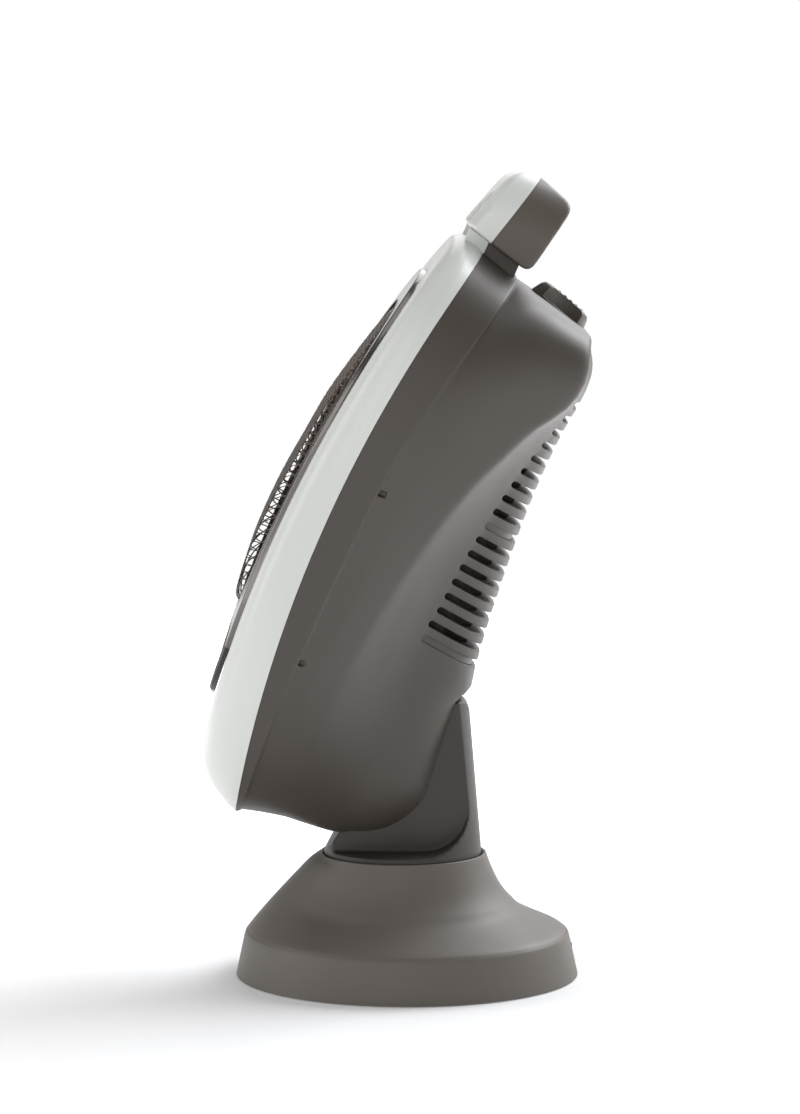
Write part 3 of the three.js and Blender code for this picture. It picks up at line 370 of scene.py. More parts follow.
def bake(thing):
    # the modifiers' result becomes the object's plain mesh
    graph = bpy.context.evaluated_depsgraph_get()
    made = bpy.data.meshes.new_from_object(thing.evaluated_get(graph))
    thing.modifiers.clear()
    thing.data = made
    return thing


def carve(thing, tool, operation="DIFFERENCE"):
    cut = thing.modifiers.new("cut", "BOOLEAN")
    cut.operation = operation
    cut.solver = "EXACT"
    cut.object = tool
    bake(thing)
    bpy.data.objects.remove(tool)
    return thing


def soften(thing, voxel, rounds, share=1.0):
    # a moulding's rounded edges: fine voxels, then smoothing, and a share of the faces kept
    cells = thing.modifiers.new("cells", "REMESH")
    cells.mode = "VOXEL"
    cells.voxel_size = voxel * mm
    smoothing = thing.modifiers.new("round", "SMOOTH")
    smoothing.factor = 0.5
    smoothing.iterations = rounds
    if share < 1:
        thing.modifiers.new("thin", "DECIMATE").ratio = share
    return shade(bake(thing), 50)


def join(thing, *others):
    def gather(bm):
        for other in others:
            bm.from_mesh(other.data)
            bpy.data.objects.remove(other)

    return edited(thing, gather)


def bridged(rings, closed=False):
    # quads through rings of the same number of points
    n = len(rings[0])
    faces = []
    last = len(rings) if closed else len(rings) - 1
    for k in range(last):
        a, b = k * n, ((k + 1) % len(rings)) * n
        for i in range(n):
            j = (i + 1) % n
            faces.append((a + i, a + j, b + j, b + i))
    return faces


def lofted(name, rings, place=None, smooth=35, closed=False):
    points = np.concatenate(rings)
    faces = bridged(rings, closed)
    if not closed:
        n = len(rings[0])
        faces += [tuple(range(n))[::-1], tuple(range(len(points) - n, len(points)))]
    return outward(meshObject(name, points, faces, place, smooth))


def flip(bm):
    bmesh.ops.reverse_faces(bm, faces=bm.faces)


def outward(thing):
    def turn(bm):
        bmesh.ops.recalc_face_normals(bm, faces=bm.faces)
        if bm.calc_volume(signed=True) < 0:
            flip(bm)

    return edited(thing, turn)


def laid(a, b, value, axis):
    # a ring of two coordinates at one value of the third, which runs along the axis
    return np.stack([a, b, np.full(len(a), value)], 1)[:, axisOrder[axis]]


def prism(name, outline, axis, low, high, place=None, smooth=35):
    flat = np.asarray(outline, float)
    rings = [laid(flat[:, 0], flat[:, 1], value, axis) for value in (low, high)]
    return lofted(name, rings, place, smooth)


def twoPrisms(name, outline, low, high, place=None):
    # the same on each side of the middle
    return [prism(name, outline, "x", a, b, place) for a, b in ((low, high), (-high, -low))]


def turnedSolid(name, profile, place=None, sides=96, at=(0, 0), smooth=35, axis="z"):
    # a profile of radius and length
    turn = np.linspace(0, 2 * np.pi, sides, endpoint=False)
    rings = [laid(at[0] + r * np.cos(turn), at[1] + r * np.sin(turn), value, axis) for r, value in profile]
    return lofted(name, rings, place, smooth)


def rod(name, axis, radius, low, high, at=(0, 0), place=None, sides=32, endRadius=None):
    return turnedSolid(name, [(radius, low), (endRadius or radius, high)], place, sides, at, axis=axis)


def dress(thing, look, body, slot, *nodes):
    thing.data.materials.clear()
    thing.data.materials.append(finishes[look])
    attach(thing, body)
    if nodes:
        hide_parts(*nodes)
    return thing


def arc(cx, cy, radius, fromDegrees, toDegrees, steps=16):
    turn = np.radians(np.linspace(fromDegrees, toDegrees, steps))
    return [(cx + radius * math.cos(t), cy + radius * math.sin(t)) for t in turn]


def bend(a, control, b, steps=12):
    t = np.linspace(0, 1, steps)[:, None]
    a, control, b = map(np.array, (a, control, b))
    return [tuple(p) for p in (1 - t) ** 2 * a + 2 * t * (1 - t) * control + t ** 2 * b]


def depthLine(*points):
    # a smooth line through (height, depth) points
    p = np.array(points, float)
    last = len(p) - 1
    zs, ys = [], []
    for i in range(last):
        p0, p1, p2, p3 = p[max(i - 1, 0)], p[i], p[i + 1], p[min(i + 2, last)]
        for t in np.linspace(0, 1, 16, endpoint=i == last - 1):
            v0, v1 = (p2 - p0) / 2, (p3 - p1) / 2
            at = (2 * p1 - 2 * p2 + v0 + v1) * t ** 3 + (-3 * p1 + 3 * p2 - 2 * v0 - v1) * t ** 2 + v0 * t + p1
            zs.append(at[0])
            ys.append(at[1])
    return lambda z: np.interp(z, zs, ys)


seamDepth = lambda z: 742 - np.sqrt(856 ** 2 - (np.asarray(z, float) - 158) ** 2)
frontDepth = lambda z: 737 - np.sqrt(880 ** 2 - (np.asarray(z, float) - 134) ** 2)
flangeLine = depthLine((-53, -86), (0, -91), (60, -94), (137, -93.8), (193, -91.6), (234, -87.4), (281, -78.6),
                       (319, -70.4), (361, -60.5))
creaseLine = depthLine((-42, -56), (0, -60.5), (35, -61.6), (79, -59.7), (129, -54.4), (175, -46.5), (216, -36),
                       (243, -25.2), (268, -14.2), (290, 0), (312, 4.5), (337, -3))
slotLine = depthLine((-38, -22), (30, -20), (107, -22.4), (133, -20.2), (155, -19), (176, -17), (198, -14.3),
                     (219, -11.1), (240, -6.9), (260, -1.6), (279, 3.4), (289, 6.5), (312, 8), (332, 1))
rearLine = depthLine((-36, 0), (-28, 18), (-15, 28), (4, 33), (30, 28), (73, 22), (84, 25), (100, 22), (136, 17),
                     (179, 12.6), (221, 9.8), (263, 9.8), (300, 12.5), (318, 10.7), (330, 4))


def oval(halfWidth, low, high, power=3.0, topPower=None, grow=0.0, count=160):
    # a superellipse in the front view, from the bottom round to the right
    turn = (np.arange(count) / count - 0.25) * 2 * np.pi
    c, s = np.cos(turn), np.sin(turn)
    bendPower = np.where(s > 0, topPower or power, power)
    reach = (np.abs(c) ** bendPower + np.abs(s) ** bendPower) ** (-1 / bendPower)
    return (halfWidth + grow) * c * reach, (low + high) / 2 + ((high - low) / 2 + grow) * s * reach


def eased(rows, sigma, steps=20):
    # rows of numbers joined by straight lines, then rounded by sigma(t) so that creases become soft
    rows = np.array(rows, float)
    t = np.linspace(0, len(rows) - 1, (len(rows) - 1) * steps + 1)
    straight = lambda at: np.stack([np.interp(at, np.arange(len(rows)), rows[:, k]) for k in range(rows.shape[1])], 1)
    spread = np.array([sigma(v) for v in t])
    spread = np.minimum(spread, np.minimum(t, len(rows) - 1 - t) / 2)
    offsets = np.linspace(-2, 2, 17)
    weights = np.exp(-offsets ** 2 / 2)
    made = sum(w * straight(t + o * spread) for o, w in zip(offsets, weights)) / weights.sum()
    return t, made


# half width, low, high, power, top power, and the share of each line in the depth
rearRows = [
    (150, -53, 361, 3, 4.2, 1, 0, 0, 0, 0, 0),
    (147.5, -52, 353.8, 3, 4.2, 0, 1, 0, 0, 0, 0),
    (144, -50.4, 351.4, 3, 4.4, 0, 1, 0, 0, 0, 1.4),
    (134, -47, 346, 3, 7, 0, 0.5, 0.5, 0, 0, 0),
    (117, -43.8, 339, 3.2, 11, 0, 0, 1, 0, 0, 0),
    (84, -42.8, 336.8, 3.8, 13, 0, 0, 0.5, 0.5, 0, 0),
    (60, -42, 335, 4.2, 12, 0, 0, 0, 1, 0, 0),
    (49, -39.5, 331.4, 4, 8, 0, 0, 0, 0.5, 0.5, 0),
    (34, -32, 327.6, 3, 5, 0, 0, 0, 0.15, 0.85, 0),
    (15, -20, 321, 2.4, 3, 0, 0, 0, 0, 1, 0),
    (0.5, -14, 316, 2.4, 3, 0, 0, 0, 0, 1, 0),
]


def rearRounding(t):
    # the step behind the flange is crisp, and the crease down the flank is tighter than what lies round it
    if t < 2.4:
        return 0.05
    crease = 0.24 * math.exp(-((t - 4) / 0.45) ** 2)
    return min(0.38, 0.05 + (t - 2.4) * 0.32) - crease


rearT, rearTable = eased(rearRows, rearRounding)
vents = {"first": 119.8, "pitch": 10.75, "count": 17, "slot": 4.8, "droop": 9.0, "blind": (-1, 7), "depth": 10.5,
         "groove": 3.0, "edge": 0.9}


def rearAt(t):
    return [np.interp(t, rearT, rearTable[:, k]) for k in range(rearTable.shape[1])]


def rearDepth(t, z):
    shares = rearAt(t)[5:]
    lines = (seamDepth(z), flangeLine(z), creaseLine(z), slotLine(z), rearLine(z))
    return sum(share * line for share, line in zip(shares, lines)) + shares[5]


def rearLevel(x, z):
    # the ring that passes through a point of the front view, by halving
    x, z = np.broadcast_arrays(np.asarray(x, float), np.asarray(z, float))
    low, high = np.full(x.shape, 2.0), np.full(x.shape, 10.0)
    for _ in range(22):
        t = (low + high) / 2
        halfWidth, bottom, top, power, topPower = rearAt(t)[:5]
        up = (z - (bottom + top) / 2) / ((top - bottom) / 2)
        bendPower = np.where(up > 0, topPower, power)
        outside = np.abs(x / halfWidth) ** bendPower + np.abs(up) ** bendPower > 1
        high = np.where(outside, t, high)
        low = np.where(outside, low, t)
    return (low + high) / 2


def rearSurface(x, z):
    return rearDepth(rearLevel(x, z), np.asarray(z, float))


def slotLoop(z, grow, across=26, roundSteps=9):
    # the outline of one slot on the shell, widened by grow, as points in the front view
    half = vents["slot"] / 2
    start = slotLine(z) + half
    radius = half + grow
    fall = math.tan(math.radians(vents["droop"]))
    turn = np.linspace(math.pi / 2, 1.5 * math.pi, roundSteps)
    depth = start + radius * np.cos(turn)
    height = z + radius * np.sin(turn)
    low, high = np.full(roundSteps, 30.0), np.full(roundSteps, 100.0)
    for _ in range(24):
        x = (low + high) / 2
        deeper = rearSurface(x, height) > depth
        low, high = np.where(deeper, x, low), np.where(deeper, high, x)
    right = np.stack([x, height], 1)
    spread = np.cos(np.linspace(0, np.pi, across))[-2:0:-1]
    edges = []
    for xs, offset in ((-x[0] * spread, radius), (x[-1] * spread, -radius)):
        heights = np.full(len(xs), z + offset)
        for _ in range(6):
            heights = z + offset - np.maximum(rearSurface(xs, heights) - start, 0) * fall
        edges.append(np.stack([xs, heights], 1))
    top, bottom = edges
    left = right * (-1, 1)
    # round the right end from top to bottom, along the bottom to the left, up the left end, back along the top
    return np.concatenate([right, bottom[::-1], left[::-1], top[::-1]])


def insideLoop(points, loop):
    x, z = points[:, 0], points[:, 1]
    a, b = loop, np.roll(loop, -1, 0)
    crossing = np.zeros(len(points), bool)
    for (ax, az), (bx, bz) in zip(a, b):
        hit = (az > z) != (bz > z)
        crossing ^= hit & (x < (bx - ax) * (z - az) / (bz - az if bz != az else 1e-9) + ax)
    return crossing


def strip(a, b):
    # quads between two closed loops of points
    n = len(a)
    return [(a[k], a[(k + 1) % n], b[(k + 1) % n], b[k]) for k in range(n)]


def shellRings(count, split):
    # the rings from the flange inwards; the last is the edge of the flat pattern
    levels = [0, 0.06, 0.3, 0.7, 0.93, 0.98, 1.02, 1.1, 1.5, 1.9, 1.98, 2.05, 2.2]
    rings = []
    for t in levels + list(np.arange(2.4, split + 0.01, 0.1)):
        x, z = oval(*rearAt(t)[:5], count=count)
        rings.append(np.stack([x, rearDepth(t, z), z, np.full(count, t)], 1))
    return rings


def middleRun(split):
    # the surface's length up the middle line, so that the steep underside has room in the flat pattern
    ts = np.linspace(10, split, 60)
    lows, tops = rearAt(ts)[1:3]
    middle = np.linspace(-13, 315, 160)
    heights = np.concatenate([lows[::-1], middle, tops])
    depths = np.concatenate([rearDepth(ts[::-1], lows[::-1]), rearLine(middle), rearDepth(ts, tops)])
    run = np.concatenate([[0], np.cumsum(np.hypot(np.diff(heights), np.diff(depths)) + 1e-4)])
    return np.maximum.accumulate(heights + np.arange(len(heights)) * 1e-6), run


def rearShell(count=176, split=5.0):
    rings = shellRings(count, split)
    edge = rings[-1]
    heights, run = middleRun(split)
    flatten = lambda p: np.stack([p[:, 0], np.interp(p[:, 1], heights, run)], 1)

    # the flat pattern: the edge, three loops for each slot, and free points clear of the slots
    flat = [edge[:, [0, 2]]]
    edges = [(i, (i + 1) % count) for i in range(count)]
    total = count
    slots, guards = [], []
    for i in range(-1, vents["count"]):
        z = vents["first"] + i * vents["pitch"]
        family = []
        for grow in (0.0, vents["edge"] * 0.4, vents["edge"]):
            loop = slotLoop(z, grow)
            family.append(range(total, total + len(loop)))
            flat.append(loop)
            edges += [(total + k, total + (k + 1) % len(loop)) for k in range(len(loop))]
            total += len(loop)
        guards.append(slotLoop(z, vents["edge"] + 0.5))
        slots.append((i in vents["blind"], family))
    free = [np.stack(oval(*rearAt(t)[:5], count=110), 1) for t in np.arange(split + 0.25, 10, 0.25)]
    free.append(np.stack([np.zeros(40), np.linspace(-12, 314, 40)], 1))
    free = np.concatenate(free)
    for guard in guards:
        free = free[~insideLoop(free, guard)]
    flat = np.concatenate(flat + [free])
    made, _, triangles, origin = delaunay_2d_cdt([Vector(p) for p in flatten(flat)], edges, [], 0, 1e-5)[:4]

    # the pattern's own points keep their front view; a point that the triangulation added is looked up
    back = np.array([flat[ids[0]] if ids else (p[0], np.interp(p[1], run, heights)) for p, ids in zip(made, origin)])
    named = {source: k for k, ids in enumerate(origin) for source in ids}
    triangles = np.array([f for f in triangles if len(f) == 3])
    centres = np.array([[*p] for p in made])[triangles].mean(1)
    kept = insideLoop(centres, flatten(edge[:, [0, 2]]))
    floors = []
    for _, family in slots:
        hole = insideLoop(centres, flatten(flat[list(family[0])]))
        floors.append(triangles[hole & kept])
        kept &= ~hole

    # the outside skin, with the slots' edges rolled in
    level = np.maximum(rearLevel(back[:, 0], back[:, 1]), split)
    skin = np.stack([back[:, 0], rearDepth(level, back[:, 1]), back[:, 1], level], 1)
    fall = math.tan(math.radians(vents["droop"]))
    inwards = np.array([0, -1, fall, 0])
    for _, family in slots:
        for ids, drop in zip(family, (0.6, 0.16, 0)):
            for k in ids:
                skin[named[k]] += inwards * (drop * vents["edge"])
    shell = np.concatenate(rings[:-1] + [skin])
    start = count * (len(rings) - 1)
    faces = [list(f) for f in bridged(rings[:-1])]
    last = range(start - count, start)
    faces += [list(f) for f in strip(last, [start + named[i] for i in range(count)])]
    faces += [[start + v for v in f] for f in triangles[kept]]

    # the inside skin is the outside one, set back by the wall's thickness
    thick = np.interp(shell[:, 3], [0, 0.3, 3.5, 6.2, 8.6], [0, 2.8, 2.8, 7, vents["depth"]])
    slim = np.interp(shell[:, 3], [0, 3, 6], [0.021, 0.021, 0])
    inside = shell[:, :3].copy()
    inside[:, 0] *= 1 - slim
    inside[:, 2] += (154 - inside[:, 2]) * slim + thick * fall * np.interp(shell[:, 3], [4, 6], [0, 1])
    inside[:, 1] -= thick
    size = len(shell)
    faces += [[v + size for v in f[::-1]] for f in faces]
    for i in range(count):
        j = (i + 1) % count
        faces.append((j, i, i + size, j + size))

    # walls through the open slots, and a floor in each blind one
    points = [shell[:, :3], inside]
    total = 2 * size
    for (blind, family), floor in zip(slots, floors):
        ids = [start + named[k] for k in family[0]]
        if not blind:
            faces += strip(ids, [v + size for v in ids])
            continue
        points.append(shell[ids][:, :3] + inwards[:3] * vents["groove"])
        lowIds = list(range(total, total + len(ids)))
        total += len(ids)
        faces += strip(ids, lowIds)
        lowered = {v - start: w for v, w in zip(ids, lowIds)}
        faces += [[lowered[v] for v in f] for f in floor if all(v in lowered for v in f)]
        # the inside skin is closed behind the groove
        faces += [[v + start + size for v in f[::-1]] for f in floor]
    return meshObject("rearShell", np.concatenate(points), faces, headPlace, 40)


rear = outward(rearShell())
print("stage: rear shell skin,", len(rear.data.polygons), "faces")


neckRoom = {"half": 24.6, "reach": 47.0, "knuckle": 29.0, "roof": 80.0, "wall": 2.4, "gap": 0.12, "low": -38.0}
# heights, then the power and inset of the outline that the lower and the upper screws stand on
shellScrew = {"heights": (70.5, 193, 319), "lower": (3, 6.5), "upper": (3, 7.5), "well": 2.4, "floor": 4.0}
stubs = {"outer": 64.0, "inner": 50.0, "rearLow": 338.0, "frontLow": 346.0}
seam = {"depth": -88.0, "height": 368.0, "run": 14.0, "rise": 54.0, "gap": 0.3}


def roomOutline(grow):
    reach = neckRoom["reach"] + grow
    r = neckRoom["knuckle"] + grow
    roof = neckRoom["roof"] + grow
    return ([(-reach, -80), (-reach, -14 + grow), (-r, 0)] + arc(0, 0, r, 180, 75, 20)[1:]
            + [(6 - grow, 50), (6 - grow, roof), (80, roof), (80, -80)])


def screwSpots():
    spots = []
    for z in shellScrew["heights"]:
        power, inset = shellScrew["upper"] if z > 250 else shellScrew["lower"]
        share = (1 - abs((z - 154) / 207) ** power) ** (1 / power)
        for side in (-1, 1):
            spots.append((side * (150 * share - inset), z))
    return spots


def shellTools():
    tool = prism("room", roomOutline(0), "x", -neckRoom["half"], neckRoom["half"], headPlace)
    wells = []
    for x, z in screwSpots():
        floorY = float(flangeLine(z)) - shellScrew["floor"]
        wells.append(rod("well", "y", shellScrew["well"], floorY - 1.5, floorY + 10, (x, z), headPlace, 24))
    return join(tool, *wells)


def linerSide(grow):
    low, roof = neckRoom["low"], neckRoom["roof"]
    return [(-neckRoom["reach"] - grow, low)] + roomOutline(grow)[1:-2] + [(9, roof + grow)]


def roomLiner():
    # the pocket's walls inside the shell: two cheeks and the bent wall between them
    wall, gap = neckRoom["wall"], neckRoom["gap"]
    half = neckRoom["half"] + gap
    bent = prism("bentWall", linerSide(gap) + linerSide(wall)[::-1], "x", -half - wall, half + wall, headPlace)
    cheek = linerSide(0) + [(14, 76), (17, 40), (21, 8), (14, -16), (-4, -30), (-26, -36)]
    return [bent] + twoPrisms("cheek", cheek, half, half + wall, headPlace)


knob = {"depth": -27.0, "height": 341.4, "slope": 16.3, "radius": 22.4, "topRadius": 19.8, "tall": 12.6, "grip": 6.5,
        "scoop": 16.0, "floor": 3.5, "ridges": 5, "pitch": 4.8, "voxel": 0.38, "rounds": 5}


def knobPlace(points):
    p = np.asarray(points, float)
    a = math.radians(-knob["slope"])
    y = p[:, 1] * math.cos(a) - p[:, 2] * math.sin(a) + knob["depth"]
    z = p[:, 1] * math.sin(a) + p[:, 2] * math.cos(a) + knob["height"]
    return headPlace(np.stack([p[:, 0], y, z], 1))


footHeight = lambda y: 361.3 + (y + 62) / (-46) * 11.2
handleSeam = lambda z: seam["depth"] + (z - seam["height"]) / seam["rise"] * seam["run"]


def stubPieces(low, fromY, toY):
    side = [(fromY, low), (toY, low), (toY, footHeight(toY) - 0.3), (fromY, footHeight(fromY) - 0.3)]
    return twoPrisms("stub", side, stubs["inner"], stubs["outer"], headPlace)


def spineRib():
    # the upright rib inside the spine, which the fins lean on
    zs = np.linspace(98, 298, 24)
    outline = [(float(rearLine(z)) - 10.2, z) for z in zs] + [(-9.5, z) for z in zs[::-1]]
    return prism("rib", outline, "x", -0.9, 0.9, headPlace)


def knobSeat():
    return moved(turnedSolid("knobSeat", [(20, -9), (21, 0), (20.4, 0.6)], None, 64), knobPlace)


carve(rear, shellTools())
join(rear, spineRib(), knobSeat(), *roomLiner(), *stubPieces(stubs["rearLow"], handleSeam(364) + seam["gap"], -65))
shade(rear, 40)
dress(rear, "taupe", "head", "taupe_plastic", "rear_shell")
print("stage: rear shell done,", len(rear.data.polygons), "faces")


opening = {"halfWidth": 118.0, "low": 12.0, "high": 332.0, "power": 2.7, "ledge": 7.0, "ledgeDepth": 3.0}
bezelSide = depthLine((-52, -96), (0, -108), (155, -125), (300, -112), (366, -100))
bezelCorner = depthLine((-44, -112), (-37, -117.5), (20, -130), (155, -136), (300, -124), (352, -113.5), (362, -110))
# half width, low, high, power, top power, and the share of the seam, side, corner and front lines, then a step back
bezelRows = [
    (150, -53, 361, 3, 4.2, 1, 0, 0, 0, -0.3),
    (149.6, -50.5, 365, 3, 4.2, 0, 1, 0, 0, 0),
    (144, -38.5, 362.5, 3, 4, 0, 0, 1, 0, 0),
    (135, -18, 354, 2.9, 3.1, 0, 0, 0, 1, 2.6),
    (118, 12, 332, 2.7, 2.7, 0, 0, 0, 1, 2.2),
]


def frontBezel(count=176):
    ts, table = eased(bezelRows, lambda t: 0.42)

    def level(row, grow=0.0, back=0.0):
        x, z = oval(*row[:5], grow=grow, count=count)
        lines = (seamDepth(z), bezelSide(z), bezelCorner(z), frontDepth(z))
        return np.stack([x, sum(s * line for s, line in zip(row[5:9], lines)) + row[9] + back, z], 1)

    rings = [level(row) for t, row in zip(ts, table) if round(t * 20) % 2 == 0]
    ledge, deep = opening["ledge"], opening["ledgeDepth"]
    for grow, back in ((-0.3, 0.08), (-0.6, 0.3), (-0.8, 0.8), (-0.8, deep), (-ledge, deep), (-ledge, deep + 2)):
        rings.append(level(bezelRows[-1], grow, back))
    rings.append(level((132, -12, 352, 2.9, 3, 0, 0, 0, 1, 5), -1))
    rings.append(level((143, -36, 361, 3, 4, 0, 0, 1, 0, 3.5), -2.8))
    rings.append(level((149.6, -51.5, 365, 3, 4.2, 0, 1, 0, 0, 2), -2.8))
    rings.append(level(bezelRows[0], -2.8))
    return lofted("frontBezel", rings, headPlace, 40, closed=True)


bezel = frontBezel()
join(bezel, *stubPieces(stubs["frontLow"], -104.5, handleSeam(364) - seam["gap"]))
dress(bezel, "white", "head", "white_plastic", "front_bezel")
print("stage: bezel done")


guard = {"halfWidth": 100.0, "low": 71.0, "high": 306.0, "power": 2.5, "sheet": 1.2, "proud": 1.0, "crown": 1.3,
         "bead": 0.7}


def frameCrown(x, z):
    return guard["crown"] * (1 - (x / 118) ** 2) * np.interp(z, [12, 332], [1.2, 0.2])


def reachOf(x, z, halfWidth, halfHeight, power):
    return (np.abs(x / halfWidth) ** power + np.abs(z / halfHeight) ** power) ** (1 / power)


def plateRelief(x, z):
    # a raised bead round a slightly dished panel, on the wide part below the mesh
    reach = reachOf(x, z - panel["middle"], *panel["half"], panel["power"])
    bead = panel["bead"] * np.exp(-((reach - 1) / 0.075) ** 2)
    dish = 0.5 / (1 + np.exp((reach - 0.93) / 0.02))
    return bead - dish


def guardFrame(count=176):
    rings = []
    inner = oval(guard["halfWidth"], guard["low"], guard["high"], guard["power"], count=count)
    outer = oval(opening["halfWidth"], opening["low"], opening["high"], opening["power"], grow=-0.4, count=count)

    def level(share, lift, relief=1.0):
        x = inner[0] * (1 - share) + outer[0] * share
        z = inner[1] * (1 - share) + outer[1] * share
        y = frontDepth(z) - guard["proud"] - frameCrown(x, z) - plateRelief(x, z) * relief - lift
        return np.stack([x, y, z], 1)

    shares = [0.0, 0.012, 0.03, 0.05, 0.075, 0.1] + list(np.linspace(0.13, 0.93, 30)) + [0.95, 0.97, 0.985, 0.995, 1.0]
    for share in shares:
        lip = guard["bead"] * math.exp(-((share - 0.03) / 0.03) ** 2)
        drop = 0.7 * max(0.0, (share - 0.95) / 0.05) ** 2
        rings.append(level(share, lip - drop))
    rings.append(level(1.0, -3.6, 0))
    back = [0.985, 0.9, 0.7, 0.5, 0.3, 0.15, 0.04, 0.0]
    rings += [level(share, -guard["sheet"] - (0.6 if share > 0.95 else 0)) for share in back]
    return lofted("guardFrame", rings, headPlace, 45, closed=True)


dress(guardFrame(), "plate", "head", "guard_chrome", "guard_frame")
print("stage: guard frame done")


def newTree(name, inputs):
    # a tree with the dict's values as inputs, and the material as the last one
    tree = bpy.data.node_groups.new(name, "GeometryNodeTree")

    def socket(label, way, kind):
        return tree.interface.new_socket(label, in_out=way, socket_type="NodeSocket" + kind)

    socket("Geometry", "INPUT", "Geometry")
    for label, value in inputs.items():
        socket(label, "INPUT", "Int" if isinstance(value, int) else "Float").default_value = value
    socket("Material", "INPUT", "Material")
    socket("Geometry", "OUTPUT", "Geometry")
    sheet = Sheet(tree)
    group = sheet.add("NodeGroupInput")
    labels = ("Geometry", *inputs, "Material")
    return sheet, {label: sheet.take(group, index) for index, label in enumerate(labels)}


def endTree(sheet, given, shape):
    real = sheet.add("GeometryNodeRealizeInstances", {"Geometry": shape})
    painted = sheet.add("GeometryNodeSetMaterial", {"Geometry": real, "Material": given["Material"]})
    end = sheet.tree.nodes.new("NodeGroupOutput")
    sheet.tree.links.new(painted.socket, end.inputs[0])
    return sheet.tree


def onPoints(sheet, given, shape, turn=(0, 0, 0)):
    # ends the tree with the shape, in metres, on every point of the host
    small = sheet.add("GeometryNodeTransform", {"Geometry": shape, "Rotation": turn, "Scale": (mm, mm, mm)})
    placed = sheet.add("GeometryNodeInstanceOnPoints", {"Points": given["Geometry"], "Instance": small})
    return endTree(sheet, given, placed)


def grow(name, tree, values, look, points=((0, 0, 0),)):
    # runs a tree on a host of loose points and keeps the result as a plain mesh
    mesh = bpy.data.meshes.new(name)
    mesh.from_pydata([tuple(c * mm for c in p) for p in points], [], [])
    host = bpy.data.objects.new(name, mesh)
    modifier = host.modifiers.new("nodes", "NODES")
    modifier.node_group = tree
    values = {**values, "Material": finishes[look]}
    for item in tree.interface.items_tree:
        if item.in_out == "INPUT" and item.name in values:
            modifier[item.identifier] = values[item.name]
    bpy.context.collection.objects.link(host)
    return bake(host)


meshCell = {"Cell Width": 16.4, "Cell Height": 7.9, "Columns": 50, "Strand Width": 0.8, "Strand Thickness": 0.55,
            "Tilt": 0.6, "Half Width": 112.0, "Half Height": 129.0, "Power": 2.5}


def meshTree():
    # a diamond grid, cut to its outline, with a flat strand along every edge
    sheet, given = newTree("expandedSheet", meshCell)
    columns, span = given["Columns"], given["Columns"] - 1
    grid = sheet.add("GeometryNodeMeshGrid",
                     {"Size X": span, "Size Y": span, "Vertices X": columns, "Vertices Y": columns})
    u, v, _ = sheet.axes(sheet.add("GeometryNodeInputPosition"))
    across, up = (u + v) * 0.5 * given["Cell Width"], (u - v) * 0.5 * given["Cell Height"]
    laidOut = sheet.add("GeometryNodeSetPosition", {"Geometry": grid, "Position": sheet.vector(across, 0.0, up)})
    x, _, z = sheet.axes(sheet.add("GeometryNodeInputPosition"))
    x, z = x.maths("ABSOLUTE"), z.maths("ABSOLUTE")
    reach = (x / given["Half Width"]) ** given["Power"] + (z / given["Half Height"]) ** given["Power"]
    beyond = reach.maths("GREATER_THAN", 1.0)
    cut = sheet.add("GeometryNodeDeleteGeometry", {"Geometry": laidOut, "Selection": beyond}, domain="POINT")
    wires = sheet.add("GeometryNodeDeleteGeometry", {"Geometry": cut}, domain="FACE", mode="ONLY_FACE")
    strands = sheet.add("GeometryNodeMeshToCurve", {"Mesh": wires})
    strands = sheet.add("GeometryNodeSubdivideCurve", {"Curve": strands, "Cuts": 2})
    strands = sheet.add("GeometryNodeSetCurveTilt", {"Curve": strands, "Tilt": given["Tilt"]})
    profile = sheet.add("GeometryNodeCurvePrimitiveQuadrilateral",
                        {"Width": given["Strand Width"], "Height": given["Strand Thickness"]})
    return endTree(sheet, given, sheet.add("GeometryNodeCurveToMesh", {"Curve": strands, "Profile Curve": profile}))


# how far the mesh stands proud of the front arc, by height
domeLine = depthLine((67, 3.6), (80, 6), (90, 7.6), (113, 9.4), (131, 9.7), (161, 9.2), (193, 7.6), (224, 6.9),
                     (256, 4.5), (283, 2.6), (310, 0.2))
# the pressed sheet from the middle out: a flat top, a steep wall and a flange behind the frame
tray = {"reach": (0, 0.80, 0.83, 0.86, 0.90, 0.925, 0.95, 1), "place": (0, 0.885, 0.9, 0.912, 0.924, 0.932, 0.945, 1),
        "rise": (1, 1, 0.93, 0.7, 0.3, 0.08, 0, 0), "outline": (104.0, 121.5), "middle": 188.5}


def guardMesh():
    # the tree makes the flat lattice in millimetres, and the sheet is pressed into its tray afterwards
    thing = grow("guardMesh", meshTree(), meshCell, "mesh")
    co = pointsOf(thing)
    wide, tall = meshCell["Half Width"], meshCell["Half Height"]
    reach = np.maximum(reachOf(co[:, 0], co[:, 2], wide, tall, meshCell["Power"]), 1e-4)
    scale = np.interp(reach, tray["reach"], tray["place"]) / reach
    rise = np.interp(reach, tray["reach"], tray["rise"])
    co[:, 0] *= scale * tray["outline"][0] / wide
    co[:, 2] = co[:, 2] * scale * tray["outline"][1] / tall + tray["middle"]
    x, z = co[:, 0], co[:, 2]
    flange, top = frontDepth(z) + 1.15 - frameCrown(x, z), frontDepth(z) - domeLine(z) + 0.6
    co[:, 1] += flange * (1 - rise) + top * rise
    return shade(moved(setPoints(thing, co * mm), headPlace), 40)


dress(guardMesh(), "mesh", "head", "guard_steel", "guard_mesh")
print("stage: guard mesh done")


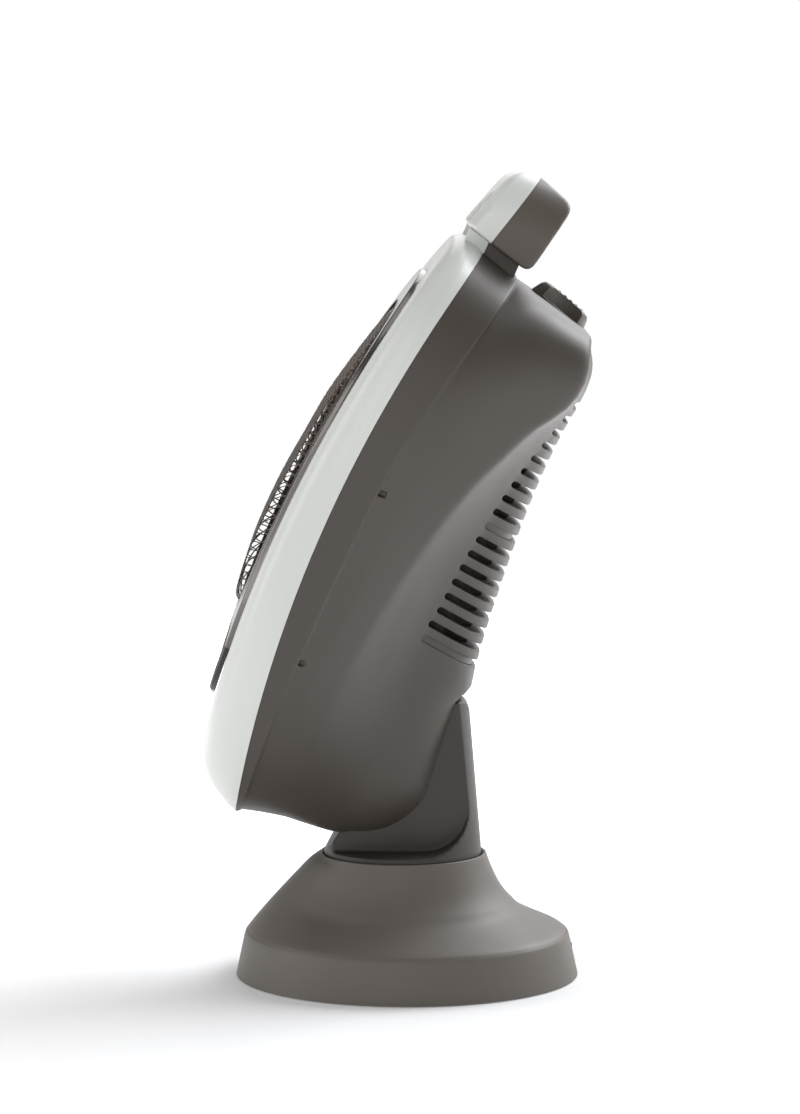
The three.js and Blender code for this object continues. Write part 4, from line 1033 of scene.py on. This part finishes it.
# the collar's inside radius, and the hidden shelf's low, high and inside radius
base = {"axisY": -3.0, "throat": 54.8, "shelf": (57.0, 60.0, 47.0), "frontSpread": 65.0, "wall": 3.0}
slopeBack = [(117, 0.5), (111, 28.5), (107.5, 32.5), (94.5, 37.8), (79, 45.6), (66.5, 58.8), (60.2, 74), (58.2, 80.5),
             (57.2, 84)]
slopeFront = [(117, 0.5), (111, 29.5), (107.5, 34), (98.5, 44.5), (87, 56.8), (73, 71), (64, 80), (58.8, 83.2),
              (57.2, 84)]


def baseRounding(t):
    # crisp at the foot and the collar, and a little at the fold half way up
    if t < 1.4 or t > 6.6:
        return 0.13
    return 0.16 if 3.2 < t < 4.4 else 0.4


def baseCover(count=192):
    turn = np.arange(count) / count * 2 * np.pi
    fromFront = np.degrees(np.abs(np.arctan2(np.sin(turn), -np.cos(turn))))
    s = np.clip(fromFront / base["frontSpread"], 0, 1)
    share = 1 - s * s * (3 - 2 * s)
    pairs = [b + f for b, f in zip(slopeBack, slopeFront)]
    ts, table = eased(pairs, baseRounding)

    def level(row, inset=0.0, drop=0.0, top=None):
        r = row[0] * (1 - share) + row[2] * share - inset
        z = row[1] * (1 - share) + row[3] * share
        drift = np.clip((z - 29.5) / 54.5, 0, 1) * base["axisY"]
        z = z - drop if top is None else np.minimum(z - drop, top)
        return np.stack([r * np.sin(turn), r * np.cos(turn) + drift, z], 1)

    def circle(radius, z):
        return np.stack([radius * np.sin(turn), radius * np.cos(turn) + base["axisY"], np.full(count, z)], 1)

    rings = [level(row) for t, row in zip(ts, table) if t < 2.5 or t > 6.4 or round(t * 20) % 2 == 0]
    shelfLow, shelfHigh, shelfRadius = base["shelf"]
    rings += [circle(56.7, 84.4), circle(55.6, 84.4), circle(base["throat"], 83.9), circle(base["throat"], shelfHigh)]
    rings += [circle(shelfRadius, shelfHigh), circle(shelfRadius, shelfLow)]
    rings += [level(pairs[k], base["wall"], 1.8 if k else 0, shelfLow - 0.2) for k in (5, 4, 3, 2, 1, 0)]
    return lofted("baseCover", rings, None, 35, closed=True)


# the base cover gets the lighter copy of the taupe plastic as painted light
dress(baseCover(), "base", "base", "taupe_plastic", "base_cover")
print("stage: base cover done")


neck = {"axisY": -3.0, "radius": 54.0, "taper": 0.084, "webHalf": 24.0, "ledge": 88.0, "corner": 30.0,
        "postFront": 42.0, "postTop": 190.5, "bottom": 62.3, "voxel": 0.95, "rounds": 7}


def neckPiece():
    bottom, top, radius = neck["bottom"], neck["postTop"], neck["radius"]
    outline = ([(-70, bottom), (-70, 84.5), (-57.5, 84.5), (-46.5, 101)]
               + arc(tilt["y"], tilt["z"], 26, 200, 35, 24)
               + bend((7.3, 145.4), (17, 146), (20, 168)) + bend((24, 182), (27, top), (34, top))
               + bend((35, top), (42, top), (43.5, 178)) + [(60, 160), (60, bottom)])
    body = turnedSolid("neck", [(radius, bottom), (radius, 84), (radius - 116 * neck["taper"], 200)], None, 128,
                       (0, neck["axisY"]))
    carve(body, prism("side", outline, "x", -60, 60), "INTERSECT")
    front, corner, low = neck["postFront"], neck["corner"], neck["ledge"]
    pocket = [(-90, low)] + arc(front - corner, low + corner, corner, -90, 0, 16)
    pocket += [(front, 178), (front - 7, 205), (-90, 205)]
    carve(body, join(*twoPrisms("pocket", pocket, neck["webHalf"], 80)))
    return soften(body, neck["voxel"], neck["rounds"], 0.55)


# the neck gets the darker copy of the taupe plastic as painted shade
dress(neckPiece(), "neck", "neck", "taupe_plastic", "neck")
print("stage: neck done")


# bow is the share by which the front face falls back, from bowFrom over bowRun
handle = {"halfWidth": 75.0, "top": 422.0, "foot": 356.0, "corner": 36.0, "gripHalf": 49.0, "gripTop": 399.0,
          "screwHeight": 385.0, "bow": 0.26, "bowFrom": 42.0, "bowRun": 33.0, "well": 3.7, "voxel": 1.15, "rounds": 16}


def wholeHandle():
    w, top, foot, corner = handle["halfWidth"], handle["top"], handle["foot"], handle["corner"]
    g, gt = handle["gripHalf"], handle["gripTop"]
    arch = ([(-w, foot)] + bend((-w, top - corner), (-w + 3, top), (-w + corner + 8, top), 16)
            + bend((w - corner - 8, top), (w - 3, top), (w, top - corner), 16) + [(w, foot), (g, foot)]
            + bend((g, gt - 14), (g, gt), (g - 16, gt), 12) + bend((-g + 16, gt), (-g, gt), (-g, gt - 14), 12)
            + [(-g, foot)])
    side = ([(-108, 372.5)] + bend((-98, 404), (-93, 420.7), (-81, 421), 14)
            + bend((-81, 421), (-76, 421.2), (-71, 419.5))[1:]
            + bend((-53.5, 414), (-47.8, 411.8), (-48.6, 405), 10)
            + bend((-55.6, 367.5), (-57, 361.2), (-62, 361.2), 10))
    body = prism("handle", arch, "y", -140, -20)
    carve(body, prism("handleSide", side, "x", -120, 120), "INTERSECT")
    soften(body, handle["voxel"], handle["rounds"])
    for v in body.data.vertices:
        middle = handleSeam(v.co.z / mm) * mm
        past = max(0.0, abs(v.co.x / mm) - handle["bowFrom"]) / handle["bowRun"]
        if v.co.y < middle:
            v.co.y = middle - (middle - v.co.y) * (1 - handle["bow"] * min(past, 1) ** 2)
    return body


def halved(thing, name, side):
    # side is 1 for the half in front of the seam and -1 for the one behind it
    half = bpy.data.objects.new(name, thing.data.copy())
    bpy.context.collection.objects.link(half)
    normal = Vector((0, 1, -seam["run"] / seam["rise"])).normalized() * side
    point = Vector((0, seam["depth"] - seam["gap"] / 2 * side, seam["height"])) * mm

    def cut(bm):
        geom = bm.verts[:] + bm.edges[:] + bm.faces[:]
        made = bmesh.ops.bisect_plane(bm, geom=geom, plane_co=point, plane_no=normal, clear_outer=True)
        rim = [e for e in made["geom_cut"] if isinstance(e, bmesh.types.BMEdge)]
        bmesh.ops.holes_fill(bm, edges=rim, sides=0)

    return edited(half, cut)


both = wholeHandle()
frontHalf, rearHalf = halved(both, "handleFront", 1), halved(both, "handleRear", -1)
bpy.data.objects.remove(both)
wellX = (handle["halfWidth"] + handle["gripHalf"]) / 2
wells = [rod("handleWell", "y", handle["well"], -62, -30, (s * wellX, handle["screwHeight"]), None, 24)
         for s in (-1, 1)]
carve(rearHalf, join(*wells))
# the handle's rear half gets the lighter copy of the taupe plastic as painted light
for piece, look, slotName, node in ((frontHalf, "white", "white_plastic", "handle_front"),
                                    (rearHalf, "trim", "taupe_plastic", "handle_rear")):
    shade(moved(piece, headPlace), 45)
    dress(piece, look, "head", slotName, node)
print("stage: handle done")


def selectorKnob():
    r, top, tall, grip = knob["radius"], knob["topRadius"], knob["tall"], knob["grip"]
    profile = [(r, 0.8), (r - 0.3, 3), (top + 0.4, tall - 3.4), (top - 1.4, tall - 1), (top - 4.5, tall)]
    drum = turnedSolid("selectorKnob", profile, None, 96)
    scoops = [rod("scoop", "z", knob["scoop"], knob["floor"], tall + 5, (s * (grip + knob["scoop"]), 0), None, 64,
                  knob["scoop"] + 1.5) for s in (-1, 1)]
    carve(drum, join(*scoops))
    ridges = [rod("ridge", "x", 1.3, -grip + 0.6, grip - 0.6, ((i - 1.4) * knob["pitch"], tall - 0.5), None, 16)
              for i in range(knob["ridges"])]
    join(drum, *ridges)
    soften(drum, knob["voxel"], knob["rounds"], 0.5)
    return moved(drum, knobPlace)


# the knob gets the lighter copy of the taupe plastic as painted light
dress(selectorKnob(), "trim", "knob", "taupe_plastic", "selector_knob")
print("stage: knob done")


lamps = {"offset": 47.0, "depth": -84.0, "radius": 5.0, "wall": 0.9, "low": 50.0, "high": 294.0}
trough = {"apex": -72.0, "focal": 12.0, "lip": 112.0, "low": 38.0, "high": 306.0, "sheet": 1.0}


def reflectorPiece():
    half = lamps["offset"]
    inner = np.linspace(0, 2 * half, 61)
    xs = np.concatenate([inner, np.linspace(2 * half, trough["lip"], 9)[1:]])
    ys = np.where(xs <= 2 * half, trough["apex"] - (xs - half) ** 2 / (4 * trough["focal"]), 0)
    ys[61:] = np.interp(xs[61:], [2 * half, trough["lip"]], [ys[60], -139])
    xs, ys = np.concatenate([-xs[:0:-1], xs]), np.concatenate([ys[:0:-1], ys])
    zs = np.linspace(trough["low"], trough["high"], 60)
    x, z = np.meshgrid(xs, zs)
    y = np.maximum(np.broadcast_to(ys, x.shape), frontDepth(z) + 5.8)
    rows, columns = x.shape
    frontSide = np.stack([x, y, z], 2).reshape(-1, 3)
    points = np.concatenate([frontSide, frontSide + (0, trough["sheet"], 0)])
    cell = lambda r, c: r * columns + c
    faces = []
    for r in range(rows - 1):
        for c in range(columns - 1):
            quad = (cell(r, c), cell(r, c + 1), cell(r + 1, c + 1), cell(r + 1, c))
            faces += [quad, tuple(v + rows * columns for v in quad[::-1])]
    border = ([cell(0, c) for c in range(columns)] + [cell(r, columns - 1) for r in range(1, rows)]
              + [cell(rows - 1, c) for c in range(columns - 2, -1, -1)] + [cell(r, 0) for r in range(rows - 2, 0, -1)])
    n = rows * columns
    faces += [(a, b, b + n, a + n) for a, b in zip(border, border[1:] + border[:1])]
    return outward(meshObject("reflector", points, faces, headPlace, 30))


dress(reflectorPiece(), "mirror", "head", "aluminium", "reflector")


def tubePiece(side):
    # a closed tube with a hollow: the outside, and the inside with its faces turned
    r, w, low, high = lamps["radius"], lamps["wall"], lamps["low"], lamps["high"]
    end = [(1.2, 0), (3.4, 0.6), (4.6, 4), (r, 9)]
    outside = [(rr, low + z) for rr, z in end] + [(rr, high - z) for rr, z in end[::-1]]
    hollow = [(rr - w if rr > 2 else 0.6, z + (2.2 if z < 150 else -2.2)) for rr, z in outside]
    at = (side * lamps["offset"], lamps["depth"])
    tube, core = (turnedSolid("tube", profile, headPlace, 40, at, 60) for profile in (outside, hollow))
    return join(tube, edited(core, flip))


for side, word in ((-1, "left"), (1, "right")):
    tube = tubePiece(side)
    tube.name = "quartzTube" + word.capitalize()
    shade(tube, 60)
    dress(tube, "quartz", "head", "quartz", "halogen_tube_" + word)

coil = {"Turns": 120.0, "Radius": 1.3, "Wire": 0.28, "Length": 200.0}


def coilTree():
    sheet, given = newTree("filamentCoil", coil)
    spiral = sheet.add("GeometryNodeCurveSpiral", {
        "Resolution": 9, "Rotations": given["Turns"], "Start Radius": given["Radius"], "End Radius": given["Radius"],
        "Height": given["Length"]})
    wire = sheet.add("GeometryNodeCurvePrimitiveCircle", {"Resolution": 4, "Radius": given["Wire"]})
    return onPoints(sheet, given, sheet.add("GeometryNodeCurveToMesh", {"Curve": spiral, "Profile Curve": wire}))


coils = grow("filaments", coilTree(), coil, "filament", [(s * lamps["offset"], lamps["depth"], 72) for s in (-1, 1)])
shade(moved(coils, headPlace), 60)
dress(coils, "filament", "head", "steel")
print("stage: lamps done")


screw = {"Head Radius": 3.4, "Head Height": 2.2, "Shank Radius": 1.6, "Shank Length": 12.0, "Slot Width": 0.8,
         "Slot Length": 3.6, "Slot Depth": 1.1}


def screwTree():
    # a pan head with a cross recess; the head faces +Y, and the origin is the middle of its underside
    sheet, given = newTree("panScrew", screw)

    def raised(shape, z):
        return sheet.add("GeometryNodeTransform", {"Geometry": shape, "Translation": sheet.vector(z=z)})

    tall, wide, long = given["Head Height"], given["Head Radius"], given["Shank Length"]
    whole = sheet.add("GeometryNodeMeshCone",
                      {"Vertices": 24, "Radius Top": wide * 0.78, "Radius Bottom": wide, "Depth": tall})
    for size in ((given["Slot Width"], given["Slot Length"]), (given["Slot Length"], given["Slot Width"])):
        cube = sheet.add("GeometryNodeMeshCube", {"Size": sheet.vector(*size, given["Slot Depth"] * 2)})
        whole = sheet.add("GeometryNodeMeshBoolean", {"Mesh 1": whole, "Mesh 2": raised(cube, tall)},
                          operation="DIFFERENCE")
    shank = sheet.add("GeometryNodeMeshCylinder",
                      {"Vertices": 16, "Radius": given["Shank Radius"], "Depth": long})
    shank = raised(shank, long * -0.5 + 0.3)
    whole = sheet.add("GeometryNodeJoinGeometry", {0: whole})
    sheet.tree.links.new(shank.socket, whole.socket.node.inputs[0])
    return onPoints(sheet, given, whole, (-math.pi / 2, 0, 0))


tree = screwTree()
spots = [(x, float(flangeLine(z)) - 5.2, z) for x, z in screwSpots()]
shellScrews = grow("shellScrews", tree, screw, "steel", spots)
shade(moved(shellScrews, headPlace))
dress(shellScrews, "darkSteelAndShieldShade", "head", "steel", *[f"shell_screw_{i}" for i in range(1, 7)])
spots = [(s * wellX, -61.7, handle["screwHeight"]) for s in (-1, 1)]
gripScrews = grow("handleScrews", tree, {**screw, "Shank Length": 30.0}, "steel", spots)
shade(moved(gripScrews, headPlace))
dress(gripScrews, "steel", "head", "steel", "handle_screw_left", "handle_screw_right")
print("stage: screws done")

# a CAD node's finish has its slot's first word for a name, apart from these
slotFinishes = {"guard_steel": "mesh", "guard_chrome": "plate", "aluminium": "mirror", "cast_iron": "iron"}
for part in frame["record"]["subparts"]:
    slot = part["material_slot"]
    materials = frame["nodes"][part["node"]].data.materials
    materials.clear()
    materials.append(finishes[slotFinishes.get(slot, slot.split("_")[0])])
# painted shade: the heat shield gets the dark screw finish, so that the slots read dark where the lit shield would
# shine through them
frame["nodes"]["heat_shield"].data.materials[0] = finishes["darkSteelAndShieldShade"]

ground = {"half": 2200, "drop": -0.2}


def paleFloor():
    f = Finish("paleFloor")
    cloud = f.noise(3, 3)
    # far from the heater the floor is lit up to the white of the backdrop
    away = f.add("ShaderNodeVectorMath", {0: f.place}, 1, operation="LENGTH")
    steps = ((0.06, 0.1), (0.2, 0.34), (0.45, 0.8), (0.8, 1.0))
    lift = f.ramp(away * 0.5, *[(place, (grey, grey, grey)) for place, grey in steps])
    pale = f.ramp(cloud, (0.3, (0.86, 0.86, 0.86)), (0.8, (0.9, 0.9, 0.9)))
    return f.finish(Base_Color=pale, Roughness=0.6 + cloud * 0.2, Emission_Color=lift, Emission_Strength=1.0)


corners = [(x * ground["half"], y * ground["half"], ground["drop"]) for x, y in ((-1, -1), (1, -1), (1, 1), (-1, 1))]
floor = meshObject("floor", corners, [(0, 1, 2, 3)])
floor.data.materials.append(paleFloor())


def studioSky():
    # white up to a little over the horizon, where it is the backdrop, and dimmer overhead
    world = bpy.data.worlds.new("studio")
    world.use_nodes = True
    sheet = Sheet(world.node_tree)
    up = sheet.axes(sheet.add("ShaderNodeTexCoord"))[2] * 0.5 + 0.5
    sky = sheet.ramp(up, (0.565, (1, 1, 1)), (0.6, (0.24, 0.24, 0.245)))
    world.node_tree.links.new(sky.socket, world.node_tree.nodes["Background"].inputs[0])
    bpy.context.scene.world = world
    bpy.context.scene.view_settings.view_transform = "Standard"


studioSky()
